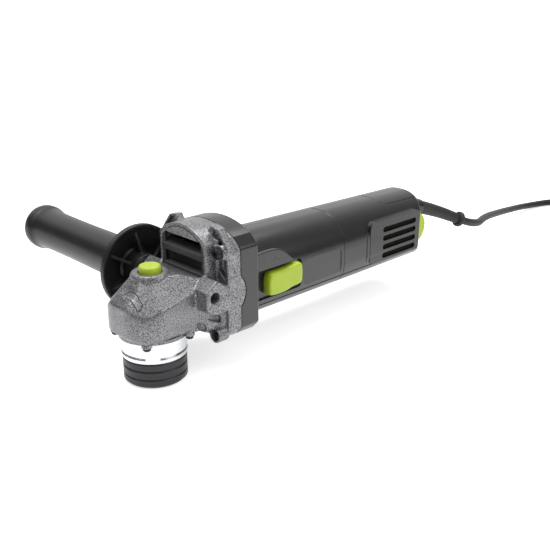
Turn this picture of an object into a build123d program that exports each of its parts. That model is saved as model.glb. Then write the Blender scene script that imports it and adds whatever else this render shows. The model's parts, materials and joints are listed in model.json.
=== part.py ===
from build123d import *
import os
from math import acos, cos, pi, radians, sin, tan

# Angle grinder for 115 or 125 mm discs. Millimetres, +Z up. The origin is on the spindle's axis, on
# the lower face of the clamping nut. +X runs to the rear of the tool and +Y to the side handle.

# ---------------------------------------------------------------- driving dimensions: gears and axes
motor_axis_z = 56.0
gear_module = 1.08
pinion_teeth = 12
gear_teeth = 36
tooth_face_width = 5.4
tooth_backlash = 0.22
pinion_addendum = 1.0
gear_addendum = 0.62
tooth_root_gap = 0.3
gear_pitch_r = gear_module * gear_teeth / 2
pinion_pitch_r = gear_module * pinion_teeth / 2
running_gap = 0.05
loose_gap = 0.3

# ---------------------------------------------------------------- spindle, nut and flange
nut_r = 20.9
nut_height = 11.4
nut_groove_z = 5.7
nut_groove_depth = 0.7
flange_thickness = 5.6
flange_shoulder_r = 11.1
flange_shoulder_length = 1.6
edge_bevel = 0.8
thread_r = 6.9
thread_gap = 0.1
thread_recess = 0.0
thread_pitch = 2.0
thread_depth = 0.55
pin_hole_circle_r = 15.0
pin_hole_r = 2.5
pin_hole_depth = 6.0
spindle_shoulder_r = 9.5
spindle_seat_r = 6.0
spindle_tip_r = 4.0
flange_top_z = nut_height + flange_thickness

# ---------------------------------------------------------------- bearings
spindle_bearing_r = 16.0
spindle_bearing_width = 10.0
spindle_bearing_z = flange_top_z + 5.0
ring_thickness = 2.6
front_bearing_r = 13.0
front_bearing_width = 8.0
front_bearing_x = 31.0
rear_bearing_r = 11.0
rear_bearing_width = 7.0
rear_bearing_x = 163.5
sleeve_thickness = 1.5
bush_r = 6.0
bush_length = 9.0
bush_z = 53.5

# ---------------------------------------------------------------- bearing cover, with the guard's neck
collar_r = 21.4
collar_bottom_z = flange_top_z + loose_gap
collar_rim_height = 2.7
collar_groove_width = 1.8
collar_groove_depth = 1.5
collar_key_arc = 50.0
cover_flange_r = 22.8
cover_flange_thickness = 2.2
cover_spigot_r = 20.2
cover_spigot_length = 3.0
cover_screw_circle_r = 24.7
cover_screw_angles = (58, 135, 225, 302)
cover_screw_r = 1.6
cover_screw_head_r = 2.6
cover_screw_head_height = 2.4
cover_lug_r = 3.4

# ---------------------------------------------------------------- gear head casting
head_bottom_z = 33.6
head_half_width = 25.0
head_front_x = -25.8
head_rear_x = 12.5
head_corner_r = 19.0
head_eave_z = 55.6
head_corner_z = 51.9
head_roof_z = 71.0
roof_slope = 1.0
roof_rise = 0.26
roof_fall = 0.33
head_edge_r = 3.0
head_lug_height = 5.0
corner_depth = 6.0
corner_pocket_depth = 3.6
web_front_x = 18.0
web_inner_y = 20.0
web_rear_half_width = 31.2
web_top_z = 47.0
mark_depth = 0.7
mark_distance = 8.0
seat_r = 11.5
seat_z = 72.8
gear_chamber_r = 22.0
gear_chamber_top_z = 53.3
casting_wall = 3.0
throat_low_half_width = 23.0
throat_rear_half_width = 30.0
flange_front_x = 35.0
flange_rear_x = 46.0
flange_half_width = 34.5
flange_bottom_z = 24.2
flange_side_low_z = 30.5
flange_side_high_z = 85.0
flange_bottom_half_width = 28.5
flange_shoulder_half_width = 27.5
flange_shoulder_z = 91.2
flange_crown_z = 97.6
flange_corner_r = 4.0
flange_screw_y = 28.3
flange_screw_dz = 27.3
flange_screw_r = 2.1
flange_screw_head_r = 3.6
flange_screw_head_height = 3.4
flange_screw_seat_x = 33.0
flange_screw_length = 27.0
lug_r = 5.4
lug_front_x = 27.5
shroud_front_x = 25.4
shroud_half_width = 24.0
shroud_bottom_z = 62.0
shroud_crown_z = 98.4
shroud_eave_z = 89.0
louvre_frame = 2.6
louvre_bottom_z = 66.4
louvre_recess = 1.0
louvre_thickness = 3.4
louvre_slots = ((76.8, 82.6), (86.6, 92.6))
louvre_slot_half_width = 19.5
louvre_fin_reach = 1.6
duct_inset = 3.6
duct_bottom_z = 74.5
chamber_r = 28.0
chamber_floor_x = 39.0
tongue_reach = 4.2
tongue_half_height = 10.5
tongue_depth = 3.0
boss_face_y = 36.0
boss_x = 22.9
boss_z = 58.0
boss_thread_r = 3.6
boss_thread_depth = 12.0
boss_face_r = 9.0

# ---------------------------------------------------------------- spindle lock
button_r = 7.1
button_top_z = 76.8
button_skirt_z = 70.2
button_wall = 1.1
button_top_thickness = 2.2
button_bore_gap = 0.35
button_lip = 0.7
button_bore_floor_z = 64.4
lock_travel = 3.6
plunger_r = 2.6
hex_across = 4.0
hex_gap = 0.12
hex_lead = 0.5
spring_r = 5.4
spring_wire_r = 0.45
spring_coils = 4

# ---------------------------------------------------------------- motor
shaft_r = 5.5
shaft_front_r = 5.0
shaft_rear_r = 4.0
pinion_seat_r = 3.0
core_x = 76.0
core_length = 44.0
core_r = 17.9
core_slots = 12
air_gap = 0.6
stator_r = 24.8
stator_flat = 21.4
winding_overhang = 9.0
winding_r = 15.6
coil_angles = (30, 122, 210, 302)
coil_arc = 28
commutator_x = 136.0
commutator_length = 13.0
commutator_r = 10.8
commutator_bars = 24
fan_x = 46.2
fan_depth = 10.0
fan_r = 25.2
fan_hub_r = 8.5
fan_blades = 11
fan_chamber_r = 27.0
baffle_x = 58.4
baffle_thickness = 2.2
baffle_bore_r = 15.5
brush_x = 142.5
brush_width = 7.0
brush_thickness = 6.0
brush_holder_wall = 1.0
brush_length = 7.0
brush_spring_r = 2.1
brush_spring_wire_r = 0.3
bridge_r = 19.5

# ---------------------------------------------------------------- motor housing and rear cover
collar_rear_x = 61.5
body_half_width = 29.5
body_rear_half_width = 28.4
body_bottom_z = 27.6
body_top_z = 84.3
body_rear_top_z = 81.6
body_top_corner_r = 26.0
body_bottom_corner_r = 19.0
joint_x = 152.0
joint_edge = 0.5
body_end_x = 254.0
body_end_plan_r = 18.0
body_end_edge_r = 2.0
end_thickness = 13.0
collar_edge_r = 1.6
fit_gap = 0.15
rail_z = 37.7
rail_width = 0.8
rail_depth = 0.6
palm_front_x = 209.0
palm_half_width = 17.0
palm_line = 0.7
palm_groove_depth = 0.5
plate_front_x = 109.0
plate_rear_x = 149.0
plate_low_z = 41.0
plate_top_z = 60.0
grip_edge_x = 177.5
cover_wall = 2.6
bore_end_x = 149.4
skeleton_r = 23.2
skeleton_wall = 2.6
skeleton_end_x = 174.0
web_thickness = 8.0
web_hub_r = 16.0
web_window_r = 4.0
chassis_bottom_z = 31.5
chassis_thickness = 2.6
chassis_half_width = 15.0
chassis_end_x = 236.0
rear_screw_x = 168.0
rear_screw_y = 9.0
rear_screw_r = 1.8
rear_screw_head_r = 3.2
rear_screw_head_height = 1.9

# ---------------------------------------------------------------- slider, switch and rod
slider_front_x = 70.0
slider_rear_x = 104.5
slider_low_z = 43.0
slider_step_z = 48.2
slider_top_z = 62.0
slider_face_y = -33.6
slider_travel = 6.0
slider_ridges = 4
recess_floor_y = -27.0
recess_front_x = 62.5
recess_low_z = 41.6
recess_top_z = 63.2
recess_rear_x = 106.5
slider_post_x = 84.0
slider_post_length = 8.0
slider_post_z = 54.5
slider_post_height = 4.4
rod_thickness = 1.5
rod_outer_y = -24.3
rod_end_x = 196.0
rod_low_z = 52.0
rod_top_z = 57.0
rod_finger_reach = 4.0
switch_x = 181.0
switch_length = 28.0
switch_width = 15.0
switch_height = 20.0
switch_low_z = 45.0
switch_y = -20.0

# ---------------------------------------------------------------- thumbwheel and speed module
dial_x = 243.2
dial_z = 54.4
dial_r = 12.8
dial_thickness = 6.0
dial_outer_y = -25.2
dial_slot_gap = 0.8
dial_notches = 24
dial_hub_r = 1.3
dial_hub_length = 4.5
module_front_x = 226.0
module_width = 9.0
module_outer_y = -17.8
module_rear_x = 245.0
module_low_z = 44.0
module_top_z = 61.5

# ---------------------------------------------------------------- vents
vent_front_x = 197.0
vent_rear_x = 238.5
vent_height = 4.2
vent_zs = (42.3, 49.3, 56.3, 63.3)
vent_panel_front_x = 182.0
vent_panel_rear_x = 243.0
vent_panel_low_z = 38.0
vent_panel_top_z = 71.5
vent_panel_y = 28.6
vent_panel_reach = 8.0
panel_line_depth = 0.9
vent_screen_thickness = 0.5

# ---------------------------------------------------------------- side handle
handle_x = boss_x
handle_z = boss_z
guard_r = 30.4
guard_y = 50.2
guard_thickness = 2.6
guard_dish = 6.0
guard_ribs = 6
hub_r = 12.0
grip_start_y = 57.0
grip_end_y = 182.8
grip_r = 15.2
grip_flare_r = 17.8
stud_r = 3.5
stud_into_grip = 45.0
stud_engagement = 10.0
flute_count = 14
flute_r = 3.0

# ---------------------------------------------------------------- cord
cord_r = 3.4
neck_r = 6.9
relief_root_r = 5.7
relief_tip_r = 4.5
bead_r = 6.7
bead_length = 4.5
neck_length = 13.2
relief_reach = 28.0
# the lead's route: inside the cover, down from the strain relief to the surface, into the coil
cord_route = [
    (226, -11, 70.3),
    (250, -11, 70.3),
    (284, -16.5, 59.2),
    (324, -31.6, 40.6),
    (375, -8.5, 33.5),
    (449.8, 18, 18),
    (506, 32.2, 8.5),
    (541, 35.2, 4.2),
    (574.5, 27, 3.6),
    (601.2, 7, 3.6),
]
# from the coil's top turn to the plug
tail_route = [
    (613.3, -53.4, 17.2),
    (606, -74, 17.5),
    (593, -92, 15.5),
    (573, -101, 13.5),
    (551.5, -102.5, 13),
]
coil_centre = (583.0, -32.0)
coil_inner_r = 25.4
coil_outer_r = 46.4
coil_layer_height = 7.0
coil_crown_z = 20.2
tie_width = 14.0
tie_thickness = 1.0
clamp_x = 232.0
clamp_length = 7.0
clamp_half_width = 8.0
clamp_screw_reach = 5.6
clamp_screw_r = 1.3
plug_neck_length = 11.0
plug_neck_r = 5.2
plug_length = 34.0
plug_width = 35.0
plug_pin_r = 2.4
plug_pin_length = 19.0
plug_pin_pitch = 19.0

# ---------------------------------------------------------------- axes and planes
spindle_axis = Axis.Z
motor_axis = Axis((0, 0, motor_axis_z), (1, 0, 0))
handle_axis = Axis((handle_x, 0, handle_z), (0, 1, 0))


cord_y = cord_route[1][1]
clamp_cord_z = cord_route[1][2]
clamp_screw_x = clamp_x + clamp_length / 2
clamp_screw_places = [(clamp_screw_x, cord_y + side * clamp_screw_reach) for side in (-1, 1)]
cover_screw_places = [
    (cover_screw_circle_r * cos(radians(angle)), cover_screw_circle_r * sin(radians(angle)))
    for angle in cover_screw_angles
]
# outline of the corner round each upper screw, and of the pocket inside it, as (y, z)
corner_peak = [(15.5, 94.5), (18.0, 99.3), (25.4, 97.8), (34.3, 86.8), (34.4, 78), (27, 78)]
corner_pocket = [(19.4, 92.5), (19.6, 97.0), (24.4, 95.9), (32.6, 85.8), (32.6, 77), (25.2, 77), (25.2, 90)]


def across(x):
    """The plane square to the motor's axis, with its own axes along Y and Z."""
    return Plane(origin=(x, 0, 0), x_dir=(0, 1, 0), z_dir=(1, 0, 0))


def beside(y):
    """The plane along the tool's side, with its own axes along X and Z, facing -Y."""
    return Plane(origin=(0, y, 0), x_dir=(1, 0, 0), z_dir=(0, -1, 0))


def profile(plane, *points):
    """A filled outline on a plane, from points in the plane's own axes."""
    with BuildSketch(plane) as drawn:
        with BuildLine():
            Polyline(*points, close=True)
        make_face()
    return drawn.sketch


def turn_on_spindle(*points, mode=Mode.ADD):
    """Revolves an outline of (radius, z) points about the spindle's axis."""
    revolve(profile(Plane.XZ, *points), axis=spindle_axis, mode=mode)


def turn_on_motor(*points, mode=Mode.ADD):
    """Revolves an outline of (x, radius) points about the motor's axis."""
    raised = [(x, motor_axis_z + r) for x, r in points]
    revolve(profile(Plane.XZ, *raised), axis=motor_axis, mode=mode)


def ring_on_motor(x0, x1, inner_r, outer_r, mode=Mode.ADD):
    turn_on_motor((x0, inner_r), (x1, inner_r), (x1, outer_r), (x0, outer_r), mode=mode)


def block(x0, x1, y0, y1, z0, z1, mode=Mode.ADD):
    """A box between two corners."""
    with Locations(((x0 + x1) / 2, (y0 + y1) / 2, (z0 + z1) / 2)):
        Box(x1 - x0, y1 - y0, z1 - z0, mode=mode)


os.makedirs("parts", exist_ok=True)


def save(piece, label):
    piece.part.label = label
    export_step(piece.part, f"parts/{label}.step")


# ================================================================ spindle group
with BuildPart() as clamping_nut:
    turn_on_spindle(
        (thread_r + thread_gap, 0),
        (nut_r - edge_bevel * 2, 0),
        (nut_r, edge_bevel * 2),
        (nut_r, nut_groove_z - nut_groove_depth),
        (nut_r - nut_groove_depth, nut_groove_z),
        (nut_r, nut_groove_z + nut_groove_depth),
        (nut_r, nut_height - edge_bevel),
        (nut_r - edge_bevel, nut_height),
        (flange_shoulder_r + loose_gap, nut_height),
        (flange_shoulder_r + loose_gap, nut_height - flange_shoulder_length - loose_gap),
        (thread_r + thread_gap, nut_height - flange_shoulder_length - loose_gap),
    )
    with BuildSketch(Plane.XY):
        with PolarLocations(pin_hole_circle_r, 4, start_angle=45):
            Circle(pin_hole_r)
    extrude(amount=pin_hole_depth, mode=Mode.SUBTRACT)
save(clamping_nut, "clamping_nut")

with BuildPart() as support_flange:
    turn_on_spindle(
        (thread_r + thread_gap, nut_height - flange_shoulder_length),
        (flange_shoulder_r, nut_height - flange_shoulder_length),
        (flange_shoulder_r, nut_height),
        (nut_r - edge_bevel, nut_height),
        (nut_r, nut_height + edge_bevel),
        (nut_r, flange_top_z - edge_bevel),
        (nut_r - edge_bevel, flange_top_z),
        (thread_r + thread_gap, flange_top_z),
    )
save(support_flange, "support_flange")

gear_hub_z = spindle_bearing_z + spindle_bearing_width
spindle_top_z = bush_z + bush_length - 1.5
socket_r = hex_across / 2 / cos(radians(30)) + hex_gap
socket_depth = lock_travel + 1.5
groove_count = int((flange_top_z - thread_recess - 4) / thread_pitch)
with BuildPart() as spindle:
    turn_on_spindle(
        (0, thread_recess),
        (thread_r - edge_bevel, thread_recess),
        (thread_r, thread_recess + edge_bevel),
        (thread_r, flange_top_z),
        (spindle_shoulder_r, flange_top_z),
        (spindle_shoulder_r, spindle_bearing_z - 0.1),
        (spindle_seat_r, spindle_bearing_z - 0.1),
        (spindle_seat_r, bush_z - 2),
        (spindle_tip_r, bush_z - 2),
        (spindle_tip_r, spindle_top_z),
        (0, spindle_top_z),
    )
    # a twelve-point socket takes the lock's hexagon every 30 degrees
    with BuildSketch(Plane.XY.offset(spindle_top_z)):
        for turned in (0, 30):
            RegularPolygon(socket_r, 6, rotation=turned)
    extrude(amount=-socket_depth, mode=Mode.SUBTRACT)
    # the thread, as one groove for each turn
    for i in range(groove_count):
        groove_z = thread_recess + 2.2 + i * thread_pitch
        turn_on_spindle(
            (thread_r - thread_depth, groove_z),
            (thread_r + 1, groove_z - 0.9),
            (thread_r + 1, groove_z + 0.9),
            mode=Mode.SUBTRACT,
        )
save(spindle, "spindle")


def bearing_on_spindle(z, width, inner_r, outer_r):
    """A shielded ball bearing: inner ring, outer ring and the shield between them."""
    turn_on_spindle(
        (inner_r, z),
        (inner_r + ring_thickness, z),
        (inner_r + ring_thickness, z + 0.5),
        (outer_r - ring_thickness, z + 0.5),
        (outer_r - ring_thickness, z),
        (outer_r, z),
        (outer_r, z + width),
        (outer_r - ring_thickness, z + width),
        (outer_r - ring_thickness, z + width - 0.5),
        (inner_r + ring_thickness, z + width - 0.5),
        (inner_r + ring_thickness, z + width),
        (inner_r, z + width),
    )


def bearing_on_motor(x, width, inner_r, outer_r):
    """The same bearing on the motor's axis."""
    thin = ring_thickness * 0.8
    turn_on_motor(
        (x, inner_r),
        (x, inner_r + thin),
        (x + 0.5, inner_r + thin),
        (x + 0.5, outer_r - thin),
        (x, outer_r - thin),
        (x, outer_r),
        (x + width, outer_r),
        (x + width, outer_r - thin),
        (x + width - 0.5, outer_r - thin),
        (x + width - 0.5, inner_r + thin),
        (x + width, inner_r + thin),
        (x + width, inner_r),
    )


with BuildPart() as spindle_bearing:
    bearing_on_spindle(
        spindle_bearing_z, spindle_bearing_width, spindle_seat_r + running_gap, spindle_bearing_r
    )
save(spindle_bearing, "spindle_bearing")

with BuildPart() as spindle_bush:
    turn_on_spindle(
        (spindle_tip_r + running_gap, bush_z),
        (bush_r, bush_z),
        (bush_r, bush_z + bush_length),
        (spindle_tip_r + running_gap, bush_z + bush_length),
    )
save(spindle_bush, "spindle_bush")

# ---------------------------------------------------------------- crown gear
# The pitch cones meet where the two axes cross, so every tooth narrows towards that point.
cone_slope = pinion_pitch_r / gear_pitch_r
inner_scale = (gear_pitch_r - tooth_face_width) / gear_pitch_r
gear_dedendum = pinion_addendum + tooth_root_gap
pinion_dedendum = gear_addendum + tooth_root_gap
tooth_pitch = pi * gear_module
tooth_slope = tan(radians(20))


def pitch_z(r):
    return motor_axis_z - r * cone_slope


with BuildPart() as spindle_gear:
    outer_root_z = pitch_z(gear_pitch_r) - gear_dedendum * gear_module
    inner_r = gear_pitch_r * inner_scale
    inner_root_z = pitch_z(inner_r) - gear_dedendum * gear_module * inner_scale
    gear_back_z = outer_root_z - 3.2
    turn_on_spindle(
        (spindle_seat_r, gear_hub_z + 0.1),
        (spindle_seat_r + 2.4, gear_hub_z + 0.1),
        (spindle_seat_r + 2.4, gear_back_z - 2),
        (spindle_seat_r + 5, gear_back_z),
        (gear_pitch_r, gear_back_z),
        (gear_pitch_r, outer_root_z),
        (inner_r, inner_root_z),
        (inner_r - 0.6, inner_root_z - 2.2),
        (spindle_seat_r + 2, inner_root_z - 2.2),
        (spindle_seat_r, inner_root_z - 2.2),
    )
    for tooth in range(gear_teeth):
        turned = Plane.XY.rotated((0, 0, (tooth + 0.5) * 360 / gear_teeth))
        ends = []
        for scale_here in (1, inner_scale):
            m = gear_module * scale_here
            half = (tooth_pitch * scale_here - tooth_backlash) / 4
            top = half - gear_addendum * m * tooth_slope
            root = half + gear_dedendum * m * tooth_slope
            z = pitch_z(gear_pitch_r * scale_here)
            section = Plane(
                origin=turned.x_dir * gear_pitch_r * scale_here,
                x_dir=turned.y_dir,
                z_dir=turned.x_dir,
            )
            ends.append(
                profile(
                    section,
                    (-root, z - gear_dedendum * m - 0.05),
                    (root, z - gear_dedendum * m - 0.05),
                    (top, z + gear_addendum * m),
                    (-top, z + gear_addendum * m),
                )
            )
        loft(ends, ruled=True)
save(spindle_gear, "spindle_gear")

# ---------------------------------------------------------------- pinion
flank_steps = 4
base_r = pinion_pitch_r * cos(radians(20))
tip_r = pinion_pitch_r + pinion_addendum * gear_module
pinion_root_r = pinion_pitch_r - pinion_dedendum * gear_module
half_tooth = (tooth_pitch - tooth_backlash) / 4 / pinion_pitch_r


def flank_angle(r):
    """Half the tooth's angle at a radius, by the involute of the base circle."""
    roll = acos(min(1.0, base_r / r))
    at_pitch = radians(20)
    return half_tooth + (tan(at_pitch) - at_pitch) - (tan(roll) - roll)


def pinion_outline(x):
    """The pinion's section at a distance along the motor's axis, one tooth pointing down."""
    scale_here = x / gear_pitch_r
    points = []
    for tooth in range(pinion_teeth):
        middle = 2 * pi * tooth / pinion_teeth - pi / 2
        root_half = flank_angle(base_r)
        points.append((pinion_root_r, middle - root_half))
        for step in range(flank_steps + 1):
            r = base_r + (tip_r - base_r) * step / flank_steps
            points.append((r, middle - flank_angle(r)))
        for step in range(flank_steps, -1, -1):
            r = base_r + (tip_r - base_r) * step / flank_steps
            points.append((r, middle + flank_angle(r)))
        points.append((pinion_root_r, middle + root_half))
    placed = [
        (r * scale_here * cos(a), motor_axis_z + r * scale_here * sin(a)) for r, a in points
    ]
    return profile(across(x), *placed)


pinion_small_x = gear_pitch_r * inner_scale
pinion_hub_r = pinion_root_r - 0.1
with BuildPart() as pinion:
    loft([pinion_outline(pinion_small_x), pinion_outline(gear_pitch_r)], ruled=True)
    ring_on_motor(gear_pitch_r, front_bearing_x, pinion_seat_r, pinion_hub_r)
    ring_on_motor(0, pinion_small_x + 20, 0, pinion_seat_r, mode=Mode.SUBTRACT)
save(pinion, "pinion")

nut_face_x = pinion_small_x - 3.0
with BuildPart() as pinion_nut:
    with BuildSketch(across(nut_face_x)):
        with Locations((0, motor_axis_z)):
            RegularPolygon(4.4, 6)
            Circle(pinion_seat_r, mode=Mode.SUBTRACT)
    extrude(amount=pinion_small_x - nut_face_x)
save(pinion_nut, "pinion_nut")

# ================================================================ bearing cover with the guard's neck
cover_flange_z = head_bottom_z - cover_flange_thickness
with BuildPart() as bearing_cover:
    turn_on_spindle(
        (spindle_shoulder_r + 1.2, collar_bottom_z),
        (collar_r - 0.5, collar_bottom_z),
        (collar_r, collar_bottom_z + 0.5),
        (collar_r, cover_flange_z),
        (cover_flange_r, cover_flange_z),
        (cover_flange_r, head_bottom_z),
        (cover_spigot_r, head_bottom_z),
        (cover_spigot_r, head_bottom_z + cover_spigot_length),
        (spindle_bearing_r, head_bottom_z + cover_spigot_length),
        (spindle_bearing_r, spindle_bearing_z),
        (spindle_shoulder_r + 1.2, spindle_bearing_z),
    )
    with BuildSketch(Plane.XY.offset(cover_flange_z)):
        with Locations(*cover_screw_places):
            Circle(cover_lug_r)
        Circle(collar_r - 1, mode=Mode.SUBTRACT)
    extrude(amount=cover_flange_thickness)
    # the guard's groove, left out at the keys
    with BuildSketch(Plane.XY.offset(collar_bottom_z + collar_rim_height)):
        Circle(collar_r + 1)
        Circle(collar_r - collar_groove_depth, mode=Mode.SUBTRACT)
        for key_angle in (-128, 52):
            key_half = radians(collar_key_arc / 4)
            a = radians(key_angle)
            reach = collar_r + 8
            with BuildLine():
                Polyline(
                    (0, 0),
                    (reach * cos(a - key_half), reach * sin(a - key_half)),
                    (reach * cos(a + key_half), reach * sin(a + key_half)),
                    close=True,
                )
            make_face(mode=Mode.SUBTRACT)
    extrude(amount=collar_groove_width, mode=Mode.SUBTRACT)
    with BuildSketch(Plane.XY.offset(cover_flange_z)):
        with Locations(*cover_screw_places):
            Circle(cover_screw_r + 0.15)
    extrude(amount=cover_flange_thickness, mode=Mode.SUBTRACT)
save(bearing_cover, "bearing_cover")

cover_screw_length = 9.0
with BuildPart() as cover_screws:
    with BuildSketch(Plane.XY.offset(cover_flange_z - cover_screw_head_height)):
        with Locations(*cover_screw_places):
            Circle(cover_screw_head_r)
    extrude(amount=cover_screw_head_height)
    chamfer(cover_screws.edges().group_by(Axis.Z)[0], 0.7)
    with BuildSketch(Plane.XY.offset(cover_flange_z - cover_screw_head_height)):
        with Locations(*cover_screw_places):
            RegularPolygon(1.7, 6)
    extrude(amount=1.4, mode=Mode.SUBTRACT)
    with BuildSketch(Plane.XY.offset(cover_flange_z)):
        with Locations(*cover_screw_places):
            Circle(cover_screw_r)
    extrude(amount=cover_screw_length)
save(cover_screws, "cover_screws")

# ================================================================ gear head casting
flange_screw_places = [
    (y, motor_axis_z + dz)
    for y in (-flange_screw_y, flange_screw_y)
    for dz in (-flange_screw_dz, flange_screw_dz)
]
low_screw_places = [(y, z) for y, z in flange_screw_places if z < motor_axis_z]


def flange_outline(x, inset=0.0):
    """The arched outline that the casting's flange and the motor housing's collar share."""
    half = flange_half_width - inset
    shoulder = (flange_shoulder_half_width - inset, flange_shoulder_z - inset)
    low = (flange_bottom_half_width - inset / 2, flange_bottom_z + inset)
    with BuildSketch(across(x)) as drawn:
        with BuildLine():
            Polyline(
                (-shoulder[0], shoulder[1]),
                (-half, flange_side_high_z),
                (-half, flange_side_low_z),
                (-low[0], low[1]),
                low,
                (half, flange_side_low_z),
                (half, flange_side_high_z),
                shoulder,
            )
            ThreePointArc(shoulder, (0, flange_crown_z - inset), (-shoulder[0], shoulder[1]))
        make_face()
        fillet(drawn.vertices(), flange_corner_r)
    return drawn.sketch


def shroud_outline(x, inset=0.0, low_z=shroud_bottom_z):
    """The arched hood round the air outlet, or the same arch inside it from a low edge up."""
    half = shroud_half_width - inset
    eave = shroud_eave_z - inset
    with BuildSketch(across(x)) as drawn:
        with BuildLine():
            Polyline((-half, eave), (-half, low_z), (half, low_z), (half, eave))
            ThreePointArc((half, eave), (0, shroud_crown_z - inset), (-half, eave))
        make_face()
        fillet(drawn.vertices().group_by(Axis.Y)[-1], 5)
    return drawn.sketch


def throat_section(x, half):
    """One section of the throat between the gear head and the flange."""
    return profile(
        across(x),
        (-half, head_bottom_z),
        (half, head_bottom_z),
        (half, head_eave_z),
        (half - 4, head_eave_z + 4),
        (-half + 4, head_eave_z + 4),
        (-half, head_eave_z),
    )


def web_section(x, side, half, low_z):
    """One section of the web below the throat."""
    return profile(
        across(x),
        (side * web_inner_y, low_z),
        (side * half, low_z),
        (side * half, web_top_z),
        (side * web_inner_y, web_top_z),
    )


def boss_outline(y):
    """The side handle's boss, a house shape with its ridge on top."""
    return profile(
        beside(y),
        (boss_x - 6.7, boss_z - 8.5),
        (boss_x - 1, boss_z - 11.5),
        (flange_front_x + 1, boss_z - 11.5),
        (flange_front_x + 1, boss_z + 3),
        (boss_x + 2, boss_z + 11),
        (boss_x - 6.7, boss_z + 4.5),
    )


def head_outline(rear_x):
    """The gear head seen from above, with its two round front corners."""
    with BuildSketch(Plane.XY.offset(head_bottom_z)) as drawn:
        with Locations(((head_front_x + rear_x) / 2, 0)):
            Rectangle(rear_x - head_front_x, 2 * head_half_width)
        fillet(drawn.vertices().group_by(Axis.X)[0], head_corner_r)
    return drawn.sketch


def tongue_outline(y, gap=0.0):
    """The casting's round tongue at each side, which reaches back into the collar."""
    with BuildSketch(beside(y)) as drawn:
        with BuildLine():
            ThreePointArc(
                (flange_rear_x, motor_axis_z - tongue_half_height - gap),
                (flange_rear_x + tongue_reach + gap, motor_axis_z),
                (flange_rear_x, motor_axis_z + tongue_half_height + gap),
            )
            Line(
                (flange_rear_x, motor_axis_z + tongue_half_height + gap),
                (flange_rear_x, motor_axis_z - tongue_half_height - gap),
            )
        make_face()
    return drawn.sketch


def roof_plane(point, normal):
    """A plane that the gear head's roof is cut to."""
    return Plane(origin=point, z_dir=normal)


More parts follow.
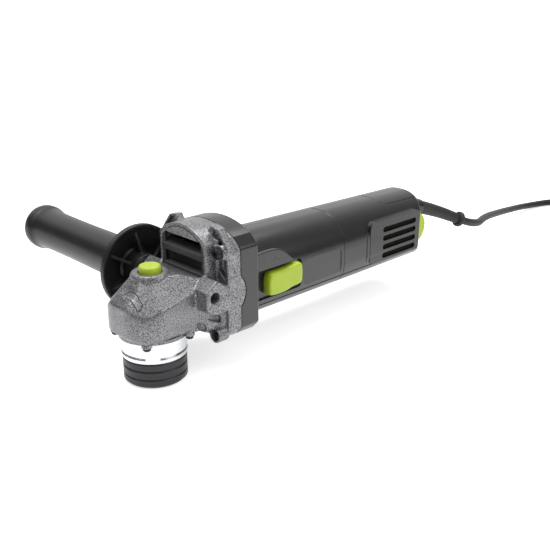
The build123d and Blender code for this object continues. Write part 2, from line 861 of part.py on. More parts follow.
chamber_low_z = head_bottom_z + cover_spigot_length
tunnel_front_x = bush_r + casting_wall + 0.5
with BuildPart() as gearbox_housing:
    # the gear chamber, its roof cut by a front plane, two corner planes and two side planes
    extrude(head_outline(flange_front_x), amount=head_roof_z - head_bottom_z)
    front_eave = (head_front_x, 0, head_eave_z)
    split(bisect_by=roof_plane(front_eave, (-roof_slope, 0, 1)), keep=Keep.BOTTOM)
    for side in (-1, 1):
        corner = (head_front_x + 7.7, side * (head_half_width - 4.2), head_corner_z)
        corner_normal = (-roof_slope * 0.76, side * roof_slope * 0.87, 1)
        split(bisect_by=roof_plane(corner, corner_normal), keep=Keep.BOTTOM)
        side_eave = (0, side * head_half_width, head_eave_z + 1.4)
        split(bisect_by=roof_plane(side_eave, (-roof_rise, side * roof_slope, 1)), keep=Keep.BOTTOM)
    ridge_end = (head_rear_x, 0, head_roof_z)
    split(bisect_by=roof_plane(ridge_end, (roof_fall, 0, 1)), keep=Keep.BOTTOM)
    chamfer(gearbox_housing.edges().group_by(Axis.Z)[0].sort_by(Axis.X)[:3], head_edge_r)
    # small lugs round the cover's screws
    with BuildSketch(Plane.XY.offset(head_bottom_z)):
        with Locations(*cover_screw_places):
            Circle(cover_lug_r)
    extrude(amount=head_lug_height)
    # throat, flange, hood, screw lugs, side bosses and tongues
    loft(
        [
            throat_section(head_rear_x - 3, throat_low_half_width),
            throat_section(flange_front_x + 1, throat_rear_half_width),
        ],
        ruled=True,
    )
    extrude(flange_outline(flange_front_x), amount=flange_rear_x - flange_front_x)
    extrude(shroud_outline(shroud_front_x), amount=flange_front_x - shroud_front_x + 1)
    for side in (-1, 1):
        boss_depth = boss_face_y - throat_low_half_width + 2
        extrude(boss_outline(side * boss_face_y), amount=side * boss_depth)
        extrude(tongue_outline(side * flange_half_width), amount=side * tongue_depth)
    with BuildSketch(across(flange_screw_seat_x)):
        with Locations(*flange_screw_places):
            Circle(lug_r)
    extrude(amount=flange_front_x - flange_screw_seat_x + 1)
    with BuildSketch(across(lug_front_x)):
        with Locations(*low_screw_places):
            Circle(lug_r)
    extrude(amount=flange_front_x - lug_front_x + 1)
    for side in (-1, 1):
        # raised corner round the upper screw, and the web down to the low one
        corner = [(side * y, z) for y, z in corner_peak]
        extrude(profile(across(flange_front_x), *corner), amount=corner_depth)
        loft(
            [
                web_section(web_front_x, side, throat_low_half_width + 1.8, head_bottom_z),
                web_section(flange_front_x + 1, side, web_rear_half_width, flange_bottom_z),
            ],
            ruled=True,
        )
    # round seat of the lock button, with a dished ring
    turn_on_spindle(
        (0, head_roof_z - 8),
        (seat_r + 2.2, head_roof_z - 8),
        (seat_r + 1.2, head_roof_z),
        (seat_r, seat_z),
        (0, seat_z),
    )
    # gear chamber, pinion tunnel, bearing bores and the bush's seat
    turn_on_spindle(
        (0, head_bottom_z - 1),
        (cover_spigot_r, head_bottom_z - 1),
        (cover_spigot_r, chamber_low_z),
        (gear_chamber_r, chamber_low_z),
        (gear_chamber_r, gear_chamber_top_z),
        (bush_r, gear_chamber_top_z),
        (bush_r, bush_z + bush_length),
        (0, bush_z + bush_length),
        mode=Mode.SUBTRACT,
    )
    ring_on_motor(tunnel_front_x, front_bearing_x, 0, front_bearing_r - casting_wall, mode=Mode.SUBTRACT)
    ring_on_motor(front_bearing_x, chamber_floor_x, 0, front_bearing_r, mode=Mode.SUBTRACT)
    ring_on_motor(chamber_floor_x, flange_rear_x + 1, 0, chamber_r, mode=Mode.SUBTRACT)
    # bore of the lock's button and the hole for its plunger
    turn_on_spindle(
        (0, bush_z + bush_length - 1),
        (plunger_r + 0.1, bush_z + bush_length - 1),
        (plunger_r + 0.1, button_bore_floor_z),
        (button_r + button_lip + button_bore_gap, button_bore_floor_z),
        (button_r + button_lip + button_bore_gap, button_skirt_z + 1.1),
        (button_r + button_bore_gap, button_skirt_z + 1.1),
        (button_r + button_bore_gap, seat_z - 0.8),
        (button_r + button_bore_gap + 0.8, seat_z + 0.1),
        (0, seat_z + 0.1),
        mode=Mode.SUBTRACT,
    )
    # shallow mark on the front slope of the roof, a plain arrow
    mark_plane = Plane(
        origin=(head_front_x + mark_distance, 0, head_eave_z + mark_distance * roof_slope),
        x_dir=(0, 1, 0),
        z_dir=(-roof_slope, 0, 1),
    )
    extrude(
        profile(mark_plane, (-10, 3.4), (3.2, 3.4), (5.4, 1), (3.2, -3.4), (-10, -3.4)),
        amount=-mark_depth,
        mode=Mode.SUBTRACT,
    )
    # air duct behind the louvre, and the rebate that the louvre sits in
    duct = shroud_outline(shroud_front_x, duct_inset, duct_bottom_z)
    extrude(duct, amount=flange_rear_x - shroud_front_x, mode=Mode.SUBTRACT)
    extrude(
        shroud_outline(shroud_front_x, louvre_frame, louvre_bottom_z),
        amount=louvre_recess + louvre_thickness,
        mode=Mode.SUBTRACT,
    )
    # threaded holes of the side handle, with a round face
    for side in (-1, 1):
        with BuildSketch(beside(side * boss_face_y)):
            with Locations((boss_x, boss_z)):
                Circle(boss_thread_r)
        extrude(amount=side * boss_thread_depth, mode=Mode.SUBTRACT)
    # screw holes, pockets beside the hood and hollows under the bosses
    with BuildSketch(across(flange_screw_seat_x)):
        with Locations(*flange_screw_places):
            Circle(flange_screw_r + 0.2)
    extrude(amount=flange_rear_x - flange_screw_seat_x + 1, mode=Mode.SUBTRACT)
    with BuildSketch(across(lug_front_x - 6)):
        with Locations(*low_screw_places):
            Circle(flange_screw_head_r + 0.4)
    extrude(amount=flange_screw_seat_x - lug_front_x + 6, mode=Mode.SUBTRACT)
    for side in (-1, 1):
        pocket = [(side * y, z) for y, z in corner_pocket]
        pocket_floor_x = flange_front_x + corner_pocket_depth
        extrude(
            profile(across(pocket_floor_x), *pocket),
            amount=-corner_pocket_depth - 0.01,
            mode=Mode.SUBTRACT,
        )
        extrude(
            profile(
                across(flange_front_x - 3),
                (side * (shroud_half_width + 1.2), boss_z + 13),
                (side * (flange_half_width - 2.4), boss_z + 7),
                (side * (flange_half_width - 2.4), flange_screw_dz + motor_axis_z - lug_r - 0.6),
                (side * (shroud_half_width + 1.2), flange_screw_dz + motor_axis_z - lug_r - 0.6),
            ),
            amount=7,
            mode=Mode.SUBTRACT,
        )
        extrude(
            profile(
                beside(side * (boss_face_y + 1)),
                (boss_x - 5.0, boss_z - 11.8),
                (boss_x + 9.5, boss_z - 16.6),
                (boss_x + 9.5, boss_z - 21.5),
                (boss_x - 5.0, boss_z - 15.6),
            ),
            amount=side * 10.5,
            mode=Mode.SUBTRACT,
        )
        extrude(
            profile(
                beside(side * (boss_face_y + 1)),
                (boss_x - 6.4, boss_z - 18.6),
                (boss_x - 0.6, boss_z - 20.6),
                (boss_x + 0.6, boss_z - 26.4),
                (boss_x - 5.0, boss_z - 23.4),
            ),
            amount=side * 13,
            mode=Mode.SUBTRACT,
        )
    with BuildSketch(Plane.XY.offset(head_bottom_z)):
        with Locations(*cover_screw_places):
            Circle(cover_screw_r)
    extrude(amount=cover_screw_length, mode=Mode.SUBTRACT)
save(gearbox_housing, "gearbox_housing")

# ---------------------------------------------------------------- louvre in the air outlet
with BuildPart() as air_deflector:
    louvre_front_x = shroud_front_x + louvre_recess
    extrude(shroud_outline(louvre_front_x, louvre_frame, louvre_bottom_z), amount=louvre_thickness)
    low_slot, high_slot = louvre_slots
    with BuildSketch(across(louvre_front_x - 1)):
        with Locations((0, (low_slot[0] + low_slot[1]) / 2)):
            Rectangle(2 * louvre_slot_half_width, low_slot[1] - low_slot[0])
    extrude(amount=louvre_thickness + 2, mode=Mode.SUBTRACT)
    high_half = louvre_slot_half_width - 3.5
    with BuildSketch(across(louvre_front_x - 1)):
        with BuildLine():
            Line((-high_half, high_slot[0]), (high_half, high_slot[0]))
            ThreePointArc((high_half, high_slot[0]), (0, high_slot[1]), (-high_half, high_slot[0]))
        make_face()
    extrude(amount=louvre_thickness + 2, mode=Mode.SUBTRACT)
    fin_low = louvre_slots[0][1] + 0.6
    fin_top = louvre_slots[1][0] - 0.4
    extrude(
        profile(
            beside(0),
            (louvre_front_x + 1, fin_low),
            (louvre_front_x - louvre_fin_reach, fin_low + 0.8),
            (louvre_front_x - louvre_fin_reach, fin_low + 1.6),
            (louvre_front_x + 1, fin_top),
        ),
        amount=louvre_slot_half_width - 0.5,
        both=True,
    )
save(air_deflector, "air_deflector")

# ---------------------------------------------------------------- flange screws
with BuildPart() as gearbox_screws:
    with BuildSketch(across(flange_screw_seat_x)):
        with Locations(*flange_screw_places):
            Circle(flange_screw_head_r)
    extrude(amount=-flange_screw_head_height)
    chamfer(gearbox_screws.edges().group_by(Axis.X)[0], 0.8)
    with BuildSketch(across(flange_screw_seat_x - flange_screw_head_height)):
        with Locations(*flange_screw_places):
            Rectangle(4.0, 1.0)
            Rectangle(1.0, 4.0)
    extrude(amount=1.6, mode=Mode.SUBTRACT)
    with BuildSketch(across(flange_screw_seat_x)):
        with Locations(*flange_screw_places):
            Circle(flange_screw_r)
    extrude(amount=flange_screw_length)
save(gearbox_screws, "gearbox_screws")

# ================================================================ spindle lock
button_inner_z = button_top_z - button_top_thickness
with BuildPart() as lock_button:
    turn_on_spindle(
        (0, button_inner_z),
        (button_r - button_wall, button_inner_z),
        (button_r - button_wall, button_skirt_z),
        (button_r + button_lip, button_skirt_z),
        (button_r + button_lip, button_skirt_z + 1.0),
        (button_r, button_skirt_z + 1.0),
        (button_r, button_top_z),
        (0, button_top_z),
    )
    fillet(lock_button.edges().group_by(Axis.Z)[-1], 1.3)
    turn_on_spindle(
        (0, button_inner_z),
        (plunger_r, button_inner_z),
        (plunger_r, button_inner_z + 1),
        (0, button_inner_z + 1),
        mode=Mode.SUBTRACT,
    )
    turn_on_spindle((0, button_top_z - 0.5), (1.3, button_top_z), (0, button_top_z), mode=Mode.SUBTRACT)
save(lock_button, "lock_button")

hex_bottom_z = spindle_top_z + hex_lead
hex_top_z = hex_bottom_z + lock_travel
with BuildPart() as lock_plunger:
    with BuildSketch(Plane.XY.offset(hex_bottom_z)):
        RegularPolygon(hex_across / 2 / cos(radians(30)), 6)
    extrude(amount=hex_top_z - hex_bottom_z)
    turn_on_spindle(
        (0, hex_top_z),
        (plunger_r, hex_top_z),
        (plunger_r, button_inner_z + 1),
        (0, button_inner_z + 1),
    )
save(lock_plunger, "lock_plunger")


def spring_between(x, z0, z1, r, wire_r, turns):
    """A coil spring along Z between two seats."""
    with BuildLine() as coil:
        Helix(
            pitch=(z1 - z0 - 2 * wire_r) / turns,
            height=z1 - z0 - 2 * wire_r,
            radius=r,
            center=(x, 0, z0 + wire_r),
        )
    with BuildSketch(Plane(origin=coil.line @ 0, z_dir=coil.line % 0)) as wire:
        Circle(wire_r)
    sweep(sections=wire.sketch, path=coil.line)


with BuildPart() as lock_spring:
    spring_between(0, button_bore_floor_z, button_inner_z, spring_r, spring_wire_r, spring_coils)
save(lock_spring, "lock_spring")

# ================================================================ armature
shaft_front_end_x = nut_face_x - 1.0
shaft_rear_end_x = rear_bearing_x + rear_bearing_width + 1.0
with BuildPart() as armature_shaft:
    turn_on_motor(
        (shaft_front_end_x, 0),
        (shaft_front_end_x, pinion_seat_r),
        (front_bearing_x, pinion_seat_r),
        (front_bearing_x, shaft_front_r),
        (front_bearing_x + front_bearing_width + 0.5, shaft_front_r),
        (front_bearing_x + front_bearing_width + 0.5, shaft_r),
        (rear_bearing_x - 0.5, shaft_r),
        (rear_bearing_x - 0.5, shaft_rear_r),
        (shaft_rear_end_x, shaft_rear_r),
        (shaft_rear_end_x, 0),
    )
save(armature_shaft, "armature_shaft")

with BuildPart() as armature_core:
    with BuildSketch(across(core_x)):
        with Locations((0, motor_axis_z)):
            Circle(core_r)
            Circle(shaft_r, mode=Mode.SUBTRACT)
            with PolarLocations(core_r - 3.4, core_slots):
                Circle(1.9, mode=Mode.SUBTRACT)
            with PolarLocations(core_r - 0.9, core_slots):
                Rectangle(2.6, 1.4, mode=Mode.SUBTRACT)
    extrude(amount=core_length)
save(armature_core, "armature_core")

with BuildPart() as armature_windings:
    for start_x, end_x in (
        (core_x - winding_overhang, core_x),
        (core_x + core_length, core_x + core_length + winding_overhang),
    ):
        ring_on_motor(start_x, end_x, shaft_r, winding_r)
    chamfer(armature_windings.edges().filter_by(GeomType.CIRCLE).filter_by(lambda e: e.radius > 15), 2.0)
    with BuildSketch(across(core_x)):
        with Locations((0, motor_axis_z)):
            with PolarLocations(core_r - 3.4, core_slots):
                Circle(1.9)
    extrude(amount=core_length)
save(armature_windings, "armature_windings")

with BuildPart() as commutator:
    ring_on_motor(commutator_x, commutator_x + commutator_length, shaft_r, commutator_r)
    ring_on_motor(commutator_x, commutator_x + 2, commutator_r - 1, commutator_r + 1.4)
    with BuildSketch(across(commutator_x - 1)):
        with Locations((0, motor_axis_z)):
            with PolarLocations(commutator_r + 0.4, commutator_bars):
                Rectangle(2.2, 0.4)
    extrude(amount=commutator_length + 2, mode=Mode.SUBTRACT)
save(commutator, "commutator")

with BuildPart() as fan:
    ring_on_motor(fan_x, fan_x + fan_depth, shaft_r, fan_hub_r)
    ring_on_motor(fan_x + fan_depth - 1.6, fan_x + fan_depth, fan_hub_r - 1, fan_r)
    with BuildSketch(across(fan_x)):
        with Locations((0, motor_axis_z)):
            with PolarLocations((fan_r + fan_hub_r) / 2 - 0.4, fan_blades):
                Rectangle(fan_r - fan_hub_r, 1.5, rotation=24)
    extrude(amount=fan_depth)
    ring_on_motor(fan_x - 1, fan_x + fan_depth + 1, fan_r, fan_r + 6, mode=Mode.SUBTRACT)
save(fan, "fan")

with BuildPart() as baffle_ring:
    ring_on_motor(baffle_x, baffle_x + baffle_thickness, baffle_bore_r, fan_chamber_r)
    ring_on_motor(baffle_x - 1.2, baffle_x + 0.5, baffle_bore_r, baffle_bore_r + 1.6)
save(baffle_ring, "baffle_ring")

with BuildPart() as front_bearing:
    bearing_on_motor(front_bearing_x, front_bearing_width, shaft_front_r + running_gap, front_bearing_r)
save(front_bearing, "front_bearing")

with BuildPart() as rear_bearing:
    bearing_on_motor(rear_bearing_x, rear_bearing_width, shaft_rear_r + running_gap, rear_bearing_r)
save(rear_bearing, "rear_bearing")

with BuildPart() as bearing_sleeve:
    ring_on_motor(
        rear_bearing_x, rear_bearing_x + rear_bearing_width, rear_bearing_r, rear_bearing_r + sleeve_thickness
    )
save(bearing_sleeve, "bearing_sleeve")

# ================================================================ stator
stator_bore_r = core_r + air_gap
coil_seat_r = stator_bore_r + 4.0


def sector(x, inner_r, outer_r, from_angle, to_angle):
    """Part of a ring, square to the motor's axis."""
    with BuildSketch(across(x)) as drawn:
        with Locations((0, motor_axis_z)):
            Circle(outer_r)
            Circle(inner_r, mode=Mode.SUBTRACT)
        wedge = [(0, motor_axis_z)]
        for step in range(5):
            a = radians(from_angle + (to_angle - from_angle) * step / 4)
            wedge.append((60 * cos(a), motor_axis_z + 60 * sin(a)))
        with BuildLine():
            Polyline(*wedge, close=True)
        make_face(mode=Mode.INTERSECT)
    return drawn.sketch


with BuildPart() as stator_core:
    with BuildSketch(across(core_x)):
        with Locations((0, motor_axis_z)):
            Circle(stator_r)
            Rectangle(2 * stator_flat, 2 * stator_r + 2, mode=Mode.INTERSECT)
            Circle(stator_bore_r, mode=Mode.SUBTRACT)
    extrude(amount=core_length)
    for slot_angle in coil_angles:
        extrude(
            sector(core_x - 1, stator_bore_r - 1, coil_seat_r, slot_angle, slot_angle + coil_arc),
            amount=core_length + 2,
            mode=Mode.SUBTRACT,
        )
save(stator_core, "stator_core")

with BuildPart() as field_coils:
    coil_start_x = core_x - winding_overhang
    coil_inner_radius = stator_bore_r + 0.5
    for slot_angle in coil_angles:
        extrude(
            sector(
                coil_start_x,
                coil_inner_radius,
                coil_seat_r,
                slot_angle + 1.5,
                slot_angle + coil_arc - 1.5,
            ),
            amount=core_length + 2 * winding_overhang,
        )
    for pole_angle in (coil_angles[0], coil_angles[2]):
        for end_x in (coil_start_x, core_x + core_length + 1.5):
            extrude(
                sector(
                    end_x,
                    coil_inner_radius,
                    coil_seat_r,
                    pole_angle + 1.5,
                    180 - coil_angles[0] - 1.5 + (pole_angle - coil_angles[0]),
                ),
                amount=winding_overhang - 1.5,
            )
save(field_coils, "field_coils")

# ================================================================ brush gear
holder_start_r = commutator_r + 0.9
holder_end_r = stator_r - 0.8
brush_start_r = commutator_r + running_gap
brush_end_r = brush_start_r + brush_length
holder_half_x = brush_width / 2 + brush_holder_wall
holder_half_y = brush_thickness / 2 + brush_holder_wall
with BuildPart() as brush_holders:
    for side in (-1, 1):
        start_z = motor_axis_z + side * holder_start_r
        end_z = motor_axis_z + side * holder_end_r
        low_z, high_z = sorted((start_z, end_z))
        block(brush_x - holder_half_x, brush_x + holder_half_x, -holder_half_y, holder_half_y, low_z, high_z)
        low_z, high_z = sorted((start_z, end_z - side * brush_holder_wall))
        block(
            brush_x - brush_width / 2,
            brush_x + brush_width / 2,
            -brush_thickness / 2,
            brush_thickness / 2,
            low_z,
            high_z,
            mode=Mode.SUBTRACT,
        )
save(brush_holders, "brush_holders")

with BuildPart() as carbon_brushes:
    for side in (-1, 1):
        low_z, high_z = sorted((motor_axis_z + side * (brush_start_r - 1), motor_axis_z + side * brush_end_r))
        block(
            brush_x - brush_width / 2,
            brush_x + brush_width / 2,
            -brush_thickness / 2,
            brush_thickness / 2,
            low_z,
            high_z,
        )
    ring_on_motor(brush_x - 6, brush_x + 6, 0, brush_start_r, mode=Mode.SUBTRACT)
save(carbon_brushes, "carbon_brushes")

with BuildPart() as brush_springs:
    for side in (-1, 1):
        ends = (brush_end_r, holder_end_r - brush_holder_wall)
        low_z, high_z = sorted(motor_axis_z + side * r for r in ends)
        spring_between(brush_x, low_z, high_z, brush_spring_r, brush_spring_wire_r, 3)
save(brush_springs, "brush_springs")

# ================================================================ motor housing
def body_section(x, inset=0.0):
    """The body's section, which tapers a little from the collar to the rear end."""
    share = (x - collar_rear_x) / (body_end_x - collar_rear_x)
    half = body_half_width + share * (body_rear_half_width - body_half_width) - inset
    low = body_bottom_z + inset
    top = body_top_z + share * (body_rear_top_z - body_top_z) - inset
    with BuildSketch(across(x)) as drawn:
        with Locations((0, (low + top) / 2)):
            Rectangle(2 * half, top - low)
        fillet(drawn.vertices().group_by(Axis.Y)[-1], body_top_corner_r - inset)
        fillet(drawn.vertices().group_by(Axis.Y)[0], body_bottom_corner_r - inset)
    return drawn.sketch


def body_between(x0, x1, inset=0.0, mode=Mode.ADD):
    """A length of the body, or of its inside where an inset is given."""
    loft([body_section(x0, inset), body_section(x1, inset)], ruled=True, mode=mode)


with BuildPart() as palm_groove:
    # the outline of the palm rest on top of the rear end
    with BuildSketch(Plane.XY.offset(body_rear_top_z - 14)):
        palm_length = 2 * (body_end_x - palm_front_x)
        with Locations((palm_front_x + palm_length / 2, 0)):
            RectangleRounded(palm_length, 2 * palm_half_width, 7)
            RectangleRounded(
                palm_length - 2 * palm_line, 2 * (palm_half_width - palm_line), 6.3, mode=Mode.SUBTRACT
            )
    extrude(amount=20)
    body_between(collar_rear_x, body_end_x + 60, palm_groove_depth, mode=Mode.SUBTRACT)

with BuildPart() as rail_groove:
    # the crease that runs along each side
    for side in (-1, 1):
        block(
            collar_rear_x,
            body_end_x - 8,
            min(side * 20, side * 40),
            max(side * 20, side * 40),
            rail_z - rail_width / 2,
            rail_z + rail_width / 2,
        )
    body_between(collar_rear_x - 1, body_end_x, rail_depth, mode=Mode.SUBTRACT)

rod_slot = (rod_outer_y - 0.5, rod_outer_y + rod_thickness + 0.5, rod_low_z - 0.5, rod_top_z + 0.5)
with BuildPart() as motor_housing:
    extrude(flange_outline(flange_rear_x), amount=collar_rear_x - flange_rear_x)
    fillet(motor_housing.edges().group_by(Axis.X)[-1], collar_edge_r)
    body_between(collar_rear_x - 2, joint_x)
    chamfer(motor_housing.edges().group_by(Axis.X)[-1], joint_edge)
    # inner skeleton: the ring and the web that hold the rear bearing
    ring_on_motor(bore_end_x, skeleton_end_x, 0, skeleton_r)
    # chassis behind the ring, for the switch and the speed module
    chassis_top_z = chassis_bottom_z + chassis_thickness
    block(
        skeleton_end_x - 4,
        chassis_end_x,
        -chassis_half_width,
        chassis_half_width,
        chassis_bottom_z,
        chassis_top_z,
    )
    block(
        switch_x + 2,
        switch_x + switch_length - 2,
        switch_y + 2,
        switch_y + switch_width - 2,
        chassis_bottom_z + 1,
        switch_low_z,
    )
    block(
        module_front_x,
        chassis_end_x,
        module_outer_y + 1,
        module_outer_y + module_width - 1,
        chassis_bottom_z + 1,
        module_low_z,
    )
    # fan chamber, stator bore and the ring's inside
    ring_on_motor(flange_rear_x - 1, baffle_x + baffle_thickness, 0, fan_chamber_r, mode=Mode.SUBTRACT)
    ring_on_motor(baffle_x, bore_end_x, 0, stator_r, mode=Mode.SUBTRACT)
    ring_on_motor(bore_end_x - 1, rear_bearing_x, 0, skeleton_r - skeleton_wall, mode=Mode.SUBTRACT)
    ring_on_motor(
        rear_bearing_x - 1,
        rear_bearing_x + rear_bearing_width,
        0,
        rear_bearing_r + sleeve_thickness,
        mode=Mode.SUBTRACT,
    )
    ring_on_motor(rear_bearing_x, skeleton_end_x + 1, 0, shaft_r + 1, mode=Mode.SUBTRACT)
    ring_on_motor(
        rear_bearing_x + web_thickness,
        skeleton_end_x + 1,
        0,
        skeleton_r - skeleton_wall,
        mode=Mode.SUBTRACT,
    )
    with BuildSketch(across(rear_bearing_x - 1)):
        with Locations((0, motor_axis_z)):
            with PolarLocations((web_hub_r + skeleton_r - skeleton_wall) / 2 - 0.3, 6, start_angle=30):
                Circle(web_window_r / 2)
    extrude(amount=web_thickness + 2, mode=Mode.SUBTRACT)
    # bridges that hold the brush holders
    for side in (-1, 1):
        low_z, high_z = sorted((motor_axis_z + side * bridge_r, motor_axis_z + side * (stator_r + 0.6)))
        block(
            brush_x - holder_half_x - casting_wall,
            brush_x + holder_half_x + casting_wall,
            -holder_half_y - casting_wall,
            holder_half_y + casting_wall,
            low_z,
            high_z,
        )
        low_z, high_z = sorted((motor_axis_z + side * (bridge_r - 1), motor_axis_z + side * holder_end_r))
        block(
            brush_x - holder_half_x,
            brush_x + holder_half_x,
            -holder_half_y,
            holder_half_y,
            low_z,
            high_z,
            mode=Mode.SUBTRACT,
        )
    # pockets for the casting's tongues and its screws
    for side in (-1, 1):
        extrude(
            tongue_outline(side * (flange_half_width + 1), fit_gap),
            amount=side * (tongue_depth + 1 + fit_gap),
            mode=Mode.SUBTRACT,
        )
    with BuildSketch(across(flange_rear_x)):
        with Locations(*flange_screw_places):
            Circle(flange_screw_r)
    extrude(amount=flange_screw_length - (flange_rear_x - flange_screw_seat_x), mode=Mode.SUBTRACT)
    # recess of the slider, with the slot for its post
    with BuildSketch(beside(-body_half_width - 6)):
        with Locations(((recess_front_x + recess_rear_x) / 2, (recess_low_z + recess_top_z) / 2)):
            RectangleRounded(recess_rear_x - recess_front_x, recess_top_z - recess_low_z, 3)
    extrude(amount=recess_floor_y + body_half_width + 6, dir=(0, 1, 0), mode=Mode.SUBTRACT)
    block(
        slider_post_x - slider_post_length / 2 - slider_travel - 0.5,
        slider_post_x + slider_post_length / 2 + 0.5,
        recess_floor_y - 2,
        rod_outer_y + 4,
        slider_post_z - slider_post_height / 2 - 0.3,
        slider_post_z + slider_post_height / 2 + 0.3,
        mode=Mode.SUBTRACT,
    )
    block(bore_end_x - 1, skeleton_end_x + 1, *rod_slot, mode=Mode.SUBTRACT)
    # hump above the slider, nameplate and rail
    extrude(
        profile(
            beside(-body_half_width - 1),
            (slider_front_x - 1, boss_z + 16.5),
            (slider_front_x + 13, boss_z + 16),
            (slider_front_x + 25, boss_z + 6.5),
            (slider_front_x - 1, boss_z + 6.5),
        ),
        amount=-4,
    )
    add(rail_groove.part, mode=Mode.SUBTRACT)
    # plain sunken field of the nameplate on each side
    for side in (-1, 1):
        with BuildSketch(beside(side * (body_half_width + 1))):
            with Locations(((plate_front_x + plate_rear_x) / 2, (plate_low_z + plate_top_z) / 2)):
                RectangleRounded(plate_rear_x - plate_front_x, plate_top_z - plate_low_z, 4)
        extrude(
            amount=side * (body_half_width + 1 - body_rear_half_width),
            mode=Mode.SUBTRACT,
        )
    # screw holes that take the rear cover's screws
    with BuildSketch(Plane.XY.offset(body_bottom_z)):
        with Locations((rear_screw_x, -rear_screw_y), (rear_screw_x, rear_screw_y)):
            Circle(rear_screw_r)
    extrude(amount=12, mode=Mode.SUBTRACT)
save(motor_housing, "motor_housing")

# ================================================================ the cord's route
def cord_radii(points):
    """The radius at each corner: as large as the two runs beside it allow."""
    radii = []
    for before, corner, after in zip(points, points[1:], points[2:]):
        run_in = Vector(*corner) - Vector(*before)
        run_out = Vector(*after) - Vector(*corner)
        half_turn = radians(run_in.get_angle(run_out) / 2)
        radii.append(0.45 * min(run_in.length, run_out.length) / tan(half_turn))
    return radii


lead_radii = cord_radii(cord_route)
tail_radii = cord_radii(tail_route)
print("cord radii", [round(r, 1) for r in lead_radii + tail_radii])

neck_direction = (Vector(*cord_route[2]) - Vector(*cord_route[1])).normalized()
neck_end = Vector(*cord_route[1]) + neck_direction * neck_length
relief_direction = (Vector(*cord_route[3]) - Vector(*cord_route[2])).normalized()
relief_end = Vector(*cord_route[2]) + relief_direction * relief_reach
with BuildLine() as cord_path:
    FilletPolyline(*cord_route, radius=lead_radii)
with BuildSketch(Plane(origin=cord_path.line @ 0, z_dir=cord_path.line % 0)) as cord_section:
    Circle(cord_r)
with BuildLine() as relief_path:
    FilletPolyline(neck_end, cord_route[2], relief_end, radius=lead_radii[1])

